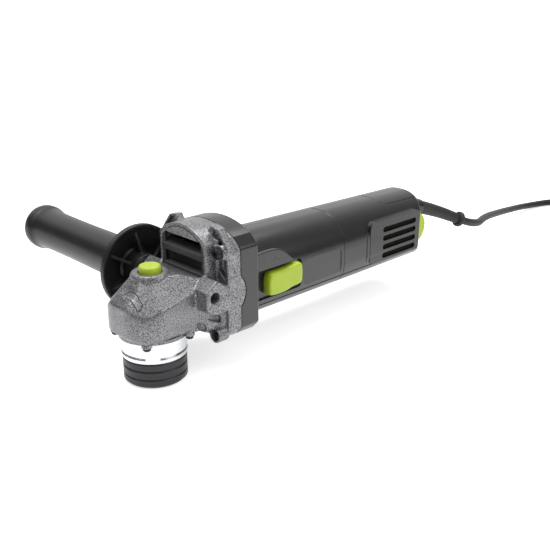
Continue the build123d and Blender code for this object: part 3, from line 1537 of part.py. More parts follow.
# ================================================================ rear cover
inner_end_x = body_end_x - end_thickness
vent_panel_centre = (
    (vent_panel_front_x + vent_panel_rear_x) / 2,
    (vent_panel_low_z + vent_panel_top_z) / 2,
)
vent_panel_height = vent_panel_top_z - vent_panel_low_z
with BuildPart() as rear_cover:
    body_between(joint_x, body_end_x)
    # the rear end is round in plan
    with BuildSketch(Plane.XY.offset(body_bottom_z - 1)):
        with Locations((joint_x, 0)):
            RectangleRounded(2 * (body_end_x - joint_x), 2 * (body_half_width + 0.5), body_end_plan_r)
    extrude(amount=body_top_z - body_bottom_z + 2, mode=Mode.INTERSECT)
    top_rear_edge = rear_cover.edges().group_by(Axis.X)[-1].sort_by(Axis.Z)[-1]
    fillet(top_rear_edge, body_end_edge_r)
    chamfer(rear_cover.edges().group_by(Axis.X)[0], joint_edge)
    # flat panels that carry the vents
    for side in (-1, 1):
        with BuildSketch(beside(side * vent_panel_y)):
            with Locations(vent_panel_centre):
                RectangleRounded(vent_panel_rear_x - vent_panel_front_x, vent_panel_height, 5)
        extrude(amount=side * vent_panel_reach)
    body_between(joint_x - 1, inner_end_x, cover_wall, mode=Mode.SUBTRACT)
    # boss and saddle of the cord clamp, and the cord's neck
    block(
        clamp_x,
        clamp_x + clamp_length,
        cord_y - clamp_half_width,
        cord_y + clamp_half_width,
        clamp_cord_z + 0.3,
        clamp_cord_z + 4.5,
    )
    with BuildSketch(Plane(origin=cord_route[1], z_dir=neck_direction).offset(-6)) as neck_root:
        Circle(neck_r)
    with BuildSketch(Plane(origin=neck_end, z_dir=neck_direction)) as neck_tip:
        Circle(neck_r - 0.5)
    loft([neck_root.sketch, neck_tip.sketch])
    sweep(sections=cord_section.sketch, path=cord_path.line, mode=Mode.SUBTRACT)
    # screw bosses below, and posts that the screws pull on
    with BuildSketch(Plane.XY.offset(chassis_bottom_z - 1)):
        with Locations((rear_screw_x, -rear_screw_y), (rear_screw_x, rear_screw_y)):
            Circle(rear_screw_r + 1.6)
    extrude(amount=-2)
    with BuildSketch(Plane.XY.offset(body_bottom_z - 1)):
        with Locations((rear_screw_x, -rear_screw_y), (rear_screw_x, rear_screw_y)):
            Circle(rear_screw_r + 0.2)
    extrude(amount=6, mode=Mode.SUBTRACT)
    with BuildSketch(Plane.XY.offset(body_bottom_z - 1)):
        with Locations((rear_screw_x, -rear_screw_y), (rear_screw_x, rear_screw_y)):
            Circle(rear_screw_head_r + 0.3)
    extrude(amount=1 + rear_screw_head_height, mode=Mode.SUBTRACT)
    with BuildSketch(Plane.XY.offset(clamp_cord_z - 4)):
        with Locations(*clamp_screw_places):
            Circle(clamp_screw_r)
    extrude(amount=8.5, mode=Mode.SUBTRACT)
    # line round each panel, and the vent slots
    for side in (-1, 1):
        with BuildSketch(beside(side * (body_half_width + 1))):
            with Locations(vent_panel_centre):
                RectangleRounded(vent_panel_rear_x - vent_panel_front_x + 1.2, vent_panel_height + 1.2, 5.6)
                RectangleRounded(
                    vent_panel_rear_x - vent_panel_front_x, vent_panel_height, 5, mode=Mode.SUBTRACT
                )
        extrude(amount=side * (body_half_width + 1 - vent_panel_y + panel_line_depth), mode=Mode.SUBTRACT)
        with BuildSketch(beside(side * (body_half_width + 1))):
            with Locations(*[((vent_front_x + vent_rear_x) / 2, z) for z in vent_zs]):
                SlotOverall(vent_rear_x - vent_front_x, vent_height)
        extrude(amount=side * 9, mode=Mode.SUBTRACT)
    # screen between the vents and the thumbwheel
    block(
        dial_x - dial_r - 3,
        vent_rear_x + 2,
        dial_outer_y - dial_slot_gap - vent_screen_thickness,
        dial_outer_y - dial_slot_gap + 0.2,
        vent_panel_low_z + 1,
        vent_panel_top_z - 4,
    )
    # slot of the thumbwheel, and the pocket behind its axle
    block(
        dial_x - dial_r - 1,
        body_end_x + 1,
        dial_outer_y - dial_slot_gap,
        dial_outer_y + dial_thickness + dial_slot_gap,
        dial_z - dial_r - dial_slot_gap,
        dial_z + dial_r + dial_slot_gap,
        mode=Mode.SUBTRACT,
    )
    block(
        inner_end_x - 1,
        module_rear_x + 0.2,
        module_outer_y - 0.9,
        module_outer_y + module_width + 0.3,
        module_low_z - 0.3,
        module_top_z + 0.3,
        mode=Mode.SUBTRACT,
    )
    # the edge of the rear grip on each side
    for side in (-1, 1):
        block(
            grip_edge_x,
            grip_edge_x + 0.9,
            min(side * (body_rear_half_width - 0.4), side * 40),
            max(side * (body_rear_half_width - 0.4), side * 40),
            rail_z + 1.5,
            body_top_z - 18,
            mode=Mode.SUBTRACT,
        )
    add(rail_groove.part, mode=Mode.SUBTRACT)
    add(palm_groove.part, mode=Mode.SUBTRACT)
save(rear_cover, "rear_cover")

with BuildPart() as rear_cover_screws:
    with BuildSketch(Plane.XY.offset(body_bottom_z + 0.3)):
        with Locations((rear_screw_x, -rear_screw_y), (rear_screw_x, rear_screw_y)):
            Circle(rear_screw_head_r)
    extrude(amount=rear_screw_head_height - 0.3)
    with BuildSketch(Plane.XY.offset(body_bottom_z + 0.3)):
        with Locations((rear_screw_x, -rear_screw_y), (rear_screw_x, rear_screw_y)):
            Rectangle(3.2, 0.7)
            Rectangle(0.7, 3.2)
    extrude(amount=0.8, mode=Mode.SUBTRACT)
    with BuildSketch(Plane.XY.offset(body_bottom_z + rear_screw_head_height)):
        with Locations((rear_screw_x, -rear_screw_y), (rear_screw_x, rear_screw_y)):
            Circle(rear_screw_r)
    extrude(amount=9)
save(rear_cover_screws, "rear_cover_screws")

# ================================================================ slider, rod and switch
with BuildPart() as switch_slider:
    extrude(
        profile(
            beside(slider_face_y),
            (slider_front_x, slider_step_z - 1),
            (slider_front_x + 5, slider_low_z + 0.4),
            (slider_front_x + 12, slider_low_z),
            (slider_front_x + 19, slider_step_z - 2),
            (slider_front_x + 24, slider_step_z),
            (slider_rear_x, slider_step_z),
            (slider_rear_x, slider_top_z - 1.5),
            (slider_front_x + 3, slider_top_z),
            (slider_front_x, slider_top_z - 3),
        ),
        amount=slider_face_y - recess_floor_y + 0.1,
    )
    fillet(switch_slider.edges().filter_by(Axis.Y), 2.4)
    fillet(switch_slider.faces().sort_by(Axis.Y)[0].edges(), 2.0)
    # grip ridges on its rear half
    for ridge in range(slider_ridges):
        ridge_x = slider_front_x + 6 + ridge * 2.6
        block(
            ridge_x,
            ridge_x + 1.2,
            slider_face_y - 1,
            slider_face_y + 0.3,
            slider_step_z + 2,
            slider_top_z - 3,
            mode=Mode.SUBTRACT,
        )
    block(
        slider_post_x - slider_post_length / 2,
        slider_post_x + slider_post_length / 2,
        recess_floor_y - 0.5,
        rod_outer_y,
        slider_post_z - slider_post_height / 2,
        slider_post_z + slider_post_height / 2,
    )
save(switch_slider, "switch_slider")

with BuildPart() as switch_rod:
    block(
        slider_post_x - slider_post_length / 2,
        rod_end_x,
        rod_outer_y,
        rod_outer_y + rod_thickness,
        rod_low_z,
        rod_top_z,
    )
    # the finger that works the switch
    block(
        rod_end_x - 4,
        rod_end_x,
        rod_outer_y,
        switch_y + rod_finger_reach,
        rod_low_z,
        rod_top_z,
    )
save(switch_rod, "switch_rod")

with BuildPart() as switch_module:
    block(
        switch_x,
        switch_x + switch_length,
        switch_y,
        switch_y + switch_width,
        switch_low_z,
        switch_low_z + switch_height,
    )
    block(
        rod_end_x - 4 - slider_travel - 0.4,
        rod_end_x + 0.4,
        switch_y - 1,
        switch_y + rod_finger_reach + 0.4,
        rod_low_z - 0.4,
        rod_top_z + 0.4,
        mode=Mode.SUBTRACT,
    )
save(switch_module, "switch_module")

# ================================================================ thumbwheel and speed module
with BuildPart() as speed_dial:
    with BuildSketch(beside(dial_outer_y)):
        with Locations((dial_x, dial_z)):
            Circle(dial_r)
            with PolarLocations(dial_r + 0.3, dial_notches):
                Circle(0.85, mode=Mode.SUBTRACT)
    extrude(amount=-dial_thickness)
    with BuildSketch(beside(dial_outer_y + dial_thickness)):
        with Locations((dial_x, dial_z)):
            Circle(dial_hub_r)
    extrude(amount=-dial_hub_length)
save(speed_dial, "speed_dial")

with BuildPart() as speed_module:
    block(
        module_front_x,
        module_rear_x,
        module_outer_y,
        module_outer_y + module_width,
        module_low_z,
        module_top_z,
    )
    with BuildSketch(beside(module_outer_y)):
        with Locations((dial_x, dial_z)):
            Circle(dial_hub_r + running_gap)
    extrude(amount=-dial_hub_length - 0.5, mode=Mode.SUBTRACT)
save(speed_module, "speed_module")

# ================================================================ cord clamp
with BuildPart() as cord_clamp:
    block(
        clamp_x,
        clamp_x + clamp_length,
        cord_y - clamp_half_width,
        cord_y + clamp_half_width,
        clamp_cord_z - 5,
        clamp_cord_z - 0.3,
    )
    with BuildSketch(across(clamp_x - 1)):
        with Locations((cord_y, clamp_cord_z)):
            Circle(cord_r)
    extrude(amount=clamp_length + 2, mode=Mode.SUBTRACT)
    with BuildSketch(Plane.XY.offset(clamp_cord_z - 6)):
        with Locations(*clamp_screw_places):
            Circle(clamp_screw_r + 0.2)
    extrude(amount=8, mode=Mode.SUBTRACT)
save(cord_clamp, "cord_clamp")

with BuildPart() as clamp_screws:
    with BuildSketch(Plane.XY.offset(clamp_cord_z - 5)):
        with Locations(*clamp_screw_places):
            Circle(clamp_screw_r)
    extrude(amount=9)
    with BuildSketch(Plane.XY.offset(clamp_cord_z - 5)):
        with Locations(*clamp_screw_places):
            Circle(clamp_screw_r + 1.0)
    extrude(amount=-1.2)
save(clamp_screws, "clamp_screws")

# ================================================================ strain relief and cord
with BuildPart() as strain_relief:
    with BuildSketch(Plane(origin=neck_end, z_dir=neck_direction)) as relief_root:
        Circle(relief_root_r)
    with BuildSketch(Plane(origin=relief_path.line @ 1, z_dir=relief_path.line % 1)) as relief_tip:
        Circle(relief_tip_r)
    sweep(sections=[relief_root.sketch, relief_tip.sketch], path=relief_path.line, multisection=True)
    with BuildSketch(Plane(origin=relief_path.line @ 1, z_dir=relief_path.line % 1)):
        Circle(bead_r)
    extrude(amount=-bead_length)
    bead_edges = strain_relief.edges().filter_by(
        lambda edge: edge.geom_type == GeomType.CIRCLE and abs(edge.radius - bead_r) < 0.01
    )
    fillet(bead_edges, 1.7)
    sweep(sections=cord_section.sketch, path=cord_path.line, mode=Mode.SUBTRACT)
save(strain_relief, "strain_relief")

with BuildPart() as cord_lead:
    sweep(sections=cord_section.sketch, path=cord_path.line)
save(cord_lead, "cord_lead")

with BuildPart() as cord_tail:
    with BuildLine() as tail_path:
        FilletPolyline(*tail_route, radius=tail_radii)
    with BuildSketch(Plane(origin=tail_path.line @ 0, z_dir=tail_path.line % 0)):
        Circle(cord_r)
    sweep(path=tail_path.line)
save(cord_tail, "cord_tail")

for route, tube in ((cord_path, cord_lead), (tail_path, cord_tail)):
    route_length = route.wires()[0].length
    volume_ratio = tube.part.volume / (pi * cord_r**2 * route_length)
    print("cord tube", round(route_length, 1), round(volume_ratio, 4))

coil_x, coil_y = coil_centre
coil_top_z = 2 * coil_layer_height
coil_middle_r = (coil_inner_r + coil_outer_r) / 2
tie_half = tie_width / 2
with BuildPart() as cord_tie:
    tie_inner_x = coil_x - coil_inner_r
    tie_outer_x = coil_x - coil_outer_r
    extrude(
        profile(
            Plane(origin=(0, coil_y + tie_half, 0), x_dir=(1, 0, 0), z_dir=(0, -1, 0)),
            (tie_inner_x + tie_thickness, 0),
            (tie_outer_x - tie_thickness, 0),
            (tie_outer_x - tie_thickness, coil_top_z + tie_thickness),
            (coil_x - coil_middle_r - cord_r - 1, coil_crown_z + tie_thickness),
            (coil_x - coil_middle_r + cord_r + 1, coil_crown_z + tie_thickness),
            (tie_inner_x + tie_thickness, coil_top_z + tie_thickness),
        ),
        amount=tie_width,
    )
    extrude(
        profile(
            Plane(origin=(0, coil_y + tie_half, 0), x_dir=(1, 0, 0), z_dir=(0, -1, 0)),
            (tie_inner_x, tie_thickness),
            (tie_outer_x, tie_thickness),
            (tie_outer_x, coil_top_z),
            (coil_x - coil_middle_r - cord_r - 1, coil_crown_z),
            (coil_x - coil_middle_r + cord_r + 1, coil_crown_z),
            (tie_inner_x, coil_top_z),
        ),
        amount=tie_width,
        mode=Mode.SUBTRACT,
    )
save(cord_tie, "cord_tie")

with BuildPart() as cord_coil:
    coil_axis = Axis((coil_x, coil_y, 0), (0, 0, 1))
    revolve(
        profile(
            Plane(origin=(coil_x, coil_y, 0), x_dir=(1, 0, 0), z_dir=(0, -1, 0)),
            (coil_inner_r, 1),
            (coil_inner_r + 1, 0),
            (coil_outer_r - 1, 0),
            (coil_outer_r, 1),
            (coil_outer_r, coil_top_z - 1),
            (coil_outer_r - 1, coil_top_z),
            (coil_middle_r + cord_r, coil_top_z),
            (coil_middle_r + cord_r, coil_crown_z - 1),
            (coil_middle_r + cord_r - 1, coil_crown_z),
            (coil_middle_r - cord_r + 1, coil_crown_z),
            (coil_middle_r - cord_r, coil_crown_z - 1),
            (coil_middle_r - cord_r, coil_top_z),
            (coil_inner_r + 1, coil_top_z),
            (coil_inner_r, coil_top_z - 1),
        ),
        axis=coil_axis,
    )
    add(cord_tie.part, mode=Mode.SUBTRACT)
save(cord_coil, "cord_coil")

# ================================================================ plug
plug_x, plug_y, plug_z = tail_route[-1]
plug_face_x = plug_x - plug_neck_length - plug_length
with BuildPart() as plug_body:
    with BuildSketch(across(plug_x + 1.5)) as neck_mouth:
        with Locations((plug_y, plug_z)):
            Circle(plug_neck_r)
    with BuildSketch(across(plug_x - plug_neck_length)) as neck_back:
        with Locations((plug_y, plug_z)):
            Circle(plug_neck_r + 2.5)
    loft([neck_mouth.sketch, neck_back.sketch])
    with BuildSketch(across(plug_x - plug_neck_length + 0.5)) as plug_back:
        with Locations((plug_y, plug_z)):
            RectangleRounded(plug_width - 10, 2 * plug_z - 6, 9)
    with BuildSketch(across(plug_x - plug_neck_length - plug_length * 0.6)) as plug_middle:
        with Locations((plug_y, plug_z)):
            RectangleRounded(plug_width, 2 * plug_z, 12)
    loft([plug_back.sketch, plug_middle.sketch])
    with BuildSketch(across(plug_x - plug_neck_length - plug_length * 0.6)):
        with Locations((plug_y, plug_z)):
            RectangleRounded(plug_width, 2 * plug_z, 12)
    extrude(amount=-plug_length * 0.4)
save(plug_body, "plug_body")

with BuildPart() as plug_pins:
    with BuildSketch(across(plug_face_x)):
        with Locations(
            (plug_y - plug_pin_pitch / 2, plug_z), (plug_y + plug_pin_pitch / 2, plug_z)
        ):
            Circle(plug_pin_r)
    extrude(amount=-plug_pin_length)
    fillet(plug_pins.edges().group_by(Axis.X)[0], plug_pin_r * 0.6)
save(plug_pins, "plug_pins")

# ================================================================ side handle
def turn_on_handle(*points, mode=Mode.ADD):
    """Revolves an outline of (y, radius) points about the side handle's axis."""
    placed = [(handle_x + r, y) for y, r in points]
    revolve(profile(Plane.XY.offset(handle_z), *placed), axis=handle_axis, mode=mode)


with BuildPart() as handle_guard:
    turn_on_handle(
        (boss_face_y, stud_r),
        (boss_face_y, boss_face_r - 0.5),
        (boss_face_y + 1.5, hub_r - 1.5),
        (guard_y - 1.5, hub_r),
        (guard_y, hub_r + 1.2),
        (guard_y - guard_dish + 3, guard_r - 3),
        (guard_y - guard_dish, guard_r - 1.8),
        (guard_y - guard_dish, guard_r - 0.6),
        (guard_y - guard_dish + 0.6, guard_r),
        (guard_y - guard_dish + guard_thickness + 1, guard_r),
        (guard_y + guard_thickness, hub_r + 4),
        (grip_start_y, hub_r + 2.6),
        (grip_start_y, stud_r),
    )
    # stiffening ribs on the side of the gear head
    for rib in range(guard_ribs):
        turned = radians(360 / guard_ribs * (rib + 0.5))
        outward = Vector(cos(turned), 0, sin(turned))
        rib_plane = Plane(
            origin=Vector(handle_x, 0, handle_z),
            x_dir=outward,
            z_dir=outward.cross(Vector(0, 1, 0)),
        )
        extrude(
            profile(
                rib_plane,
                (hub_r - 1.5, guard_y - 8.5),
                (guard_r - 6.5, guard_y - 2.2),
                (guard_r - 6.5, guard_y),
                (hub_r - 1.5, guard_y + 1),
            ),
            amount=0.9,
            both=True,
        )
save(handle_guard, "handle_guard")

with BuildPart() as handle_grip:
    turn_on_handle(
        (grip_start_y, stud_r),
        (grip_start_y, grip_r - 1.2),
        (grip_start_y + 1.2, grip_r),
        (grip_start_y + 12, grip_r + 0.4),
        (grip_start_y + 60, grip_r - 0.6),
        (grip_end_y - 22, grip_r - 0.2),
        (grip_end_y - 8, grip_flare_r),
        (grip_end_y - 2.5, grip_flare_r),
        (grip_end_y, grip_flare_r - 2.5),
        (grip_end_y, 0),
        (grip_start_y + stud_into_grip, 0),
        (grip_start_y + stud_into_grip, stud_r),
    )
    # shallow flutes round the grip
    with BuildSketch(beside(grip_start_y + 8)):
        with Locations((handle_x, handle_z)):
            with PolarLocations(grip_r + flute_r - 0.7, flute_count):
                Circle(flute_r)
    extrude(amount=-(grip_end_y - grip_start_y - 38), mode=Mode.SUBTRACT)
save(handle_grip, "handle_grip")

with BuildPart() as handle_stud:
    turn_on_handle(
        (boss_face_y - stud_engagement, 0),
        (boss_face_y - stud_engagement, stud_r - 0.6),
        (boss_face_y - stud_engagement + 0.6, stud_r),
        (grip_start_y + stud_into_grip, stud_r),
        (grip_start_y + stud_into_grip, 0),
    )
save(handle_stud, "handle_stud")
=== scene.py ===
import bmesh
import bpy
import json
import math
from mathutils import Matrix, Vector


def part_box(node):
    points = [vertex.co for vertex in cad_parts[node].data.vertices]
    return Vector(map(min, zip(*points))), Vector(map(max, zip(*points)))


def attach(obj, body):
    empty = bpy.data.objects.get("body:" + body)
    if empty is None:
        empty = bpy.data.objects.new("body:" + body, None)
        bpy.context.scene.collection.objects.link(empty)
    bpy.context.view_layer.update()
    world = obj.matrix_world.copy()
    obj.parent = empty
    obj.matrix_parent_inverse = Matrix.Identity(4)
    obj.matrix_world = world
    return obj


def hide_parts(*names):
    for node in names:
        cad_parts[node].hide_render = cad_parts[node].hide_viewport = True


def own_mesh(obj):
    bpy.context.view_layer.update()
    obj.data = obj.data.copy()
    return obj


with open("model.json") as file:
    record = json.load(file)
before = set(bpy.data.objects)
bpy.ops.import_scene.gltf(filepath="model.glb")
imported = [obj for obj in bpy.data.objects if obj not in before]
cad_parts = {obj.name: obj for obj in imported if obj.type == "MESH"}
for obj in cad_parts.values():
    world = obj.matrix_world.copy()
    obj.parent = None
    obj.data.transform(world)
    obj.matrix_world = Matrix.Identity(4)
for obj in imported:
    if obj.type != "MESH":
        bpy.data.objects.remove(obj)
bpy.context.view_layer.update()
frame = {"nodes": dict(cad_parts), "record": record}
MM = 0.001


def mm(*values):
    """A point given in millimetres."""
    return Vector(values) * MM


def clamped(value):
    """A value held between 0 and 1."""
    return min(1.0, max(0.0, value))


# ---------------------------------------------------------------- materials
WHITE = (1, 1, 1, 1)


def srgb(r, g, b):
    """A colour as the shader wants it, from the 0 to 255 values it should show."""
    def linear(c):
        c = c / 255
        return c / 12.92 if c <= 0.04045 else ((c + 0.055) / 1.055) ** 2.4
    return (linear(r), linear(g), linear(b), 1.0)


class Graph:
    """The shader nodes of a material or of the world."""

    def __init__(self, owner):
        owner.use_nodes = True
        self.nodes = owner.node_tree.nodes
        self.links = owner.node_tree.links

    def add(self, kind, inputs, **settings):
        """A new node, with its settings and then its inputs."""
        node = self.nodes.new("ShaderNode" + kind)
        for name, value in settings.items():
            setattr(node, name, value)
        self.fill(node, inputs)
        return node

    def fill(self, node, inputs):
        """Gives a node's inputs, by name or number, constants or the outputs of other nodes."""
        for key, value in inputs.items():
            if isinstance(value, bpy.types.NodeSocket):
                self.links.new(value, node.inputs[key])
            else:
                node.inputs[key].default_value = value

    def combine(self, operation, first, second):
        """Two values put together by a math operation."""
        return self.add("Math", {0: first, 1: second}, operation=operation).outputs[0]

    def along(self, vector, direction):
        """How far a vector reaches in a direction."""
        node = self.add("VectorMath", {0: vector, 1: direction}, operation="DOT_PRODUCT")
        return node.outputs["Value"]

    def spread(self, value, low, high, start=0.0, end=1.0):
        """Goes from low to high while the value goes from start to end."""
        inputs = {"Value": value, "From Min": start, "From Max": end, "To Min": low, "To Max": high}
        return self.add("MapRange", inputs).outputs["Result"]


# every material by name; those that aren't a slot of the record are shades within a slot
finishes = {}
# the sockets of a Mix node that mixes colours
MIX_FIRST, MIX_SECOND, MIX_RESULT = 6, 7, 2


class Finish(Graph):
    """A material and the kinds of texture that it is built from."""

    def __init__(self, name, roughness=0.5, metallic=0.0, specular=0.5, coat=0.0, coat_roughness=0.1):
        finishes[name] = bpy.data.materials.new(name)
        super().__init__(finishes[name])
        self.shader = self.nodes["Principled BSDF"]
        self.fill(
            self.shader,
            {
                "Roughness": roughness,
                "Metallic": metallic,
                "Specular IOR Level": specular,
                "Coat Weight": coat,
                "Coat Roughness": coat_roughness,
            },
        )
        self.place = self.add("TexCoord", {}).outputs["Object"]

    def noise(self, scale, detail=3.0, rough=0.55, stretch=None):
        """Noise in the part's own coordinates; scale is cells per metre."""
        place = self.place
        if stretch:
            place = self.add("Mapping", {"Scale": stretch, "Vector": place}).outputs["Vector"]
        inputs = {"Scale": scale, "Detail": detail, "Roughness": rough, "Vector": place}
        return self.add("TexNoise", inputs).outputs["Fac"]

    def ramp(self, value, *stops):
        """Colours along a value: stops are (position, colour)."""
        node = self.add("ValToRGB", {"Fac": value})
        elements = node.color_ramp.elements
        for index, (position, colour) in enumerate(stops):
            stop = elements[index] if index < 2 else elements.new(position)
            stop.position = position
            stop.color = colour
        return node.outputs["Color"]

    def multiplied(self, first, second):
        """Two colours multiplied."""
        inputs = {"Factor": 1.0, MIX_FIRST: first, MIX_SECOND: second}
        return self.add("Mix", inputs, data_type="RGBA", blend_type="MULTIPLY").outputs[MIX_RESULT]

    def colour(self, value):
        self.fill(self.shader, {"Base Color": value})

    def roughness(self, value):
        self.fill(self.shader, {"Roughness": value})

    def bump(self, value, strength, depth_mm, edge_mm=0.0):
        """Relief; edge_mm is the radius to which sharp edges are shaded as if they were rounded."""
        inputs = {"Strength": strength, "Distance": depth_mm * MM, "Height": value}
        if edge_mm:
            inputs["Normal"] = self.add("Bevel", {"Radius": edge_mm * MM}, samples=4).outputs["Normal"]
        self.fill(self.shader, {"Normal": self.add("Bump", inputs).outputs["Normal"]})


def hammer_enamel(name):
    """Silver-grey hammer finish: fine dark speckle over metallic grey."""
    f = Finish(name, metallic=0.45, coat=0.2, coat_roughness=0.25)
    speckle = f.noise(1400, detail=1.5, rough=0.6)
    blotch = f.noise(90)
    grain = f.ramp(
        speckle,
        (0.37, srgb(54, 54, 56)),
        (0.45, srgb(114, 114, 116)),
        (0.53, srgb(142, 142, 144)),
        (0.66, srgb(158, 158, 160)),
    )
    tone = f.ramp(blotch, (0.3, srgb(222, 222, 224)), (0.7, srgb(255, 255, 255)))
    f.colour(f.multiplied(grain, tone))
    f.roughness(f.spread(speckle, 0.46, 0.3))
    f.bump(speckle, strength=0.3, depth_mm=0.08)


def moulded(name, colour, lighter, rough=0.42, grain=1400, depth_mm=0.06, specular=0.5):
    """Moulded plastic with a spark-eroded grain."""
    f = Finish(name, specular=specular)
    f.colour(f.ramp(f.noise(60, detail=4.0), (0.3, colour), (0.75, lighter)))
    fine = f.noise(grain, detail=2.0)
    f.roughness(f.spread(fine, rough - 0.04, rough + 0.06))
    f.bump(fine, strength=0.2, depth_mm=depth_mm, edge_mm=0.8)


def steel(name, colour, rough=0.3, stretch=None, metallic=1.0):
    """Metal with fine streaks, a little darker than its colour."""
    f = Finish(name, metallic=metallic)
    streak = f.noise(700, rough=0.6, stretch=stretch)
    darker = tuple(c * 0.72 for c in colour[:3]) + (1.0,)
    f.colour(f.ramp(streak, (0.3, darker), (0.7, colour)))
    f.roughness(f.spread(streak, rough, rough + 0.16))
    f.bump(streak, strength=0.15, depth_mm=0.03)


def winding(name):
    """Varnished copper wire, laid along the winding."""
    f = Finish(name, metallic=0.9, coat=0.4, coat_roughness=0.2, roughness=0.3)
    wires = f.noise(900, detail=2.0, rough=0.5, stretch=(0.08, 1, 1))
    f.colour(f.ramp(wires, (0.35, srgb(104, 44, 18)), (0.65, srgb(206, 120, 70))))
    f.bump(wires, strength=0.5, depth_mm=0.2)


def laminations(name):
    """The edges of stacked steel sheets."""
    f = Finish(name, metallic=0.9, roughness=0.4)
    sheets = f.noise(1400, detail=0.0, rough=0.5, stretch=(1, 0.01, 0.01))
    f.colour(f.ramp(sheets, (0.35, srgb(96, 94, 92)), (0.65, srgb(160, 158, 155))))
    f.bump(sheets, strength=0.4, depth_mm=0.15)


def soft_rubber(name, colour, lighter):
    """Rubber or a cord's sheath: matt, with a fine grain."""
    f = Finish(name, specular=0.4)
    f.colour(f.ramp(f.noise(90, detail=4.0), (0.3, colour), (0.75, lighter)))
    fine = f.noise(2200, detail=2.0)
    f.roughness(f.spread(fine, 0.42, 0.6))
    f.bump(fine, strength=0.25, depth_mm=0.04)


# the streaks of turned metal run round the spindle's axis
TURNED = (0.3, 0.3, 3.0)

hammer_enamel("hammer_grey")
moulded("black_plastic", srgb(17, 17, 19), srgb(23, 23, 25), rough=0.22, depth_mm=0.03, specular=0.65)
moulded("handle_plastic", srgb(20, 20, 22), srgb(27, 27, 29), rough=0.34, depth_mm=0.04)
moulded("lime_plastic", srgb(166, 190, 36), srgb(174, 197, 44), rough=0.3, grain=1100, depth_mm=0.03)
moulded("white_plastic", srgb(196, 194, 186), srgb(212, 210, 202), rough=0.45)
steel("zinc_steel", srgb(176, 176, 172))
steel("black_steel", srgb(40, 40, 42), rough=0.34, metallic=0.5)
steel("bright_aluminium", srgb(222, 223, 226), rough=0.2, stretch=(0.2, 0.2, 3.0))
steel("dark_steel", srgb(58, 58, 60), rough=0.34, stretch=TURNED, metallic=0.5)
steel("machined_steel", srgb(186, 186, 188), rough=0.24, stretch=TURNED)
steel("bronze", srgb(190, 146, 92), rough=0.36)
laminations("lamination")
winding("copper")
steel("brass_strip", srgb(206, 176, 104), rough=0.28)
moulded("carbon", srgb(34, 34, 35), srgb(52, 52, 54), rough=0.55)
soft_rubber("black_rubber", srgb(28, 28, 30), srgb(38, 38, 40))
soft_rubber("cord_sheath", srgb(30, 30, 32), srgb(40, 40, 42))
steel("nickel_brass", srgb(214, 210, 200), rough=0.18)
# painted sheen: the louvre's black plastic in a lighter grey, for the sheen on its bars
moulded("louvre", srgb(50, 50, 52), srgb(62, 62, 64), rough=0.4, depth_mm=0.04)
# painted shade: a dark grey for the shade in the turn arrow's groove
moulded("arrow", srgb(40, 40, 42), srgb(56, 56, 58), rough=0.4)
# painted highlight: a lighter grey for the highlights of the I and O, which are raised in the black plastic
moulded("marks", srgb(96, 96, 98), srgb(106, 106, 108), rough=0.4)
# painted shade: a near-black that stands for the shade behind the lower opening
moulded("painted_shade_black", srgb(5, 5, 5), srgb(9, 9, 9), rough=0.8)
# the screens' dark wires, and the sheet of painted shade behind them
moulded("screen", srgb(17, 16, 10), srgb(27, 25, 15), rough=0.6, specular=0.15)

# each CAD node in its slot's finish, the flange's screws in a darker one
slot_of = {row["node"]: row["material_slot"] for row in frame["record"]["subparts"]}
node_shades = {"gearbox_screws": "black_steel"}
for node, obj in frame["nodes"].items():
    for slot in obj.material_slots:
        slot.material = finishes[node_shades.get(node, slot_of[node])]


# ---------------------------------------------------------------- tools for the modelled pieces
def piece(name, data, slot_name, body, *replaced, finish=None):
    """An object that rides on a body and stands for the CAD nodes that it replaces.

    It is dressed in its slot's finish, or in finish, which is a shade of its own.
    """
    obj = bpy.data.objects.new(name, data)
    bpy.context.scene.collection.objects.link(obj)
    data.materials.clear()
    data.materials.append(finishes[finish or slot_name])
    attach(obj, body)
    if replaced:
        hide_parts(*replaced)
    return obj


def modelled(name, shape, slot_name, body, *replaced, finish=None, sharp_angle=35.0):
    """A piece made from a bmesh; edges of more than sharp_angle degrees stay sharp."""
    mesh = bpy.data.meshes.new(name)
    bmesh.ops.recalc_face_normals(shape, faces=shape.faces)
    shape.to_mesh(mesh)
    shape.free()
    mesh.shade_smooth()
    mesh.set_sharp_from_angle(angle=math.radians(sharp_angle))
    return piece(name, mesh, slot_name, body, *replaced, finish=finish)


def smoothed(obj, passes, group=""):
    """Adds a smoothing modifier, which may work on one vertex group alone."""
    smoothing = obj.modifiers.new("smoothing", "SMOOTH")
    smoothing.factor = 0.5
    smoothing.iterations = passes
    smoothing.vertex_group = group


def settle(obj):
    """Applies a piece's modifiers."""
    depsgraph = bpy.context.evaluated_depsgraph_get()
    finished = bpy.data.meshes.new_from_object(obj.evaluated_get(depsgraph))
    obj.modifiers.clear()
    obj.data = finished


def softened(name, node, body, voxel_mm, passes):
    """A CAD node with its edges rounded as casting leaves them."""
    shape = bmesh.new()
    shape.from_mesh(frame["nodes"][node].data)
    # the CAD mesh is split along its edges
    bmesh.ops.remove_doubles(shape, verts=shape.verts, dist=0.01 * MM)
    obj = modelled(name, shape, slot_of[node], body, node)
    remesh = obj.modifiers.new("remesh", "REMESH")
    remesh.mode = "VOXEL"
    remesh.voxel_size = voxel_mm * MM
    remesh.use_smooth_shade = True
    smoothed(obj, passes)
    settle(obj)
    return obj


def blended(obj, share, passes):
    """Rounds a piece further where share(point in millimetres) is above 0."""
    group = obj.vertex_groups.new(name="blend")
    for vert in obj.data.vertices:
        weight = share(vert.co / MM)
        if weight > 0:
            group.add([vert.index], weight, "REPLACE")
    smoothed(obj, passes, group.name)
    settle(obj)
    obj.vertex_groups.clear()


# an outline's corners are cut at this share of its sides, again and again, until they are round
CORNER_CUT = 0.25
CORNER_PASSES = 3


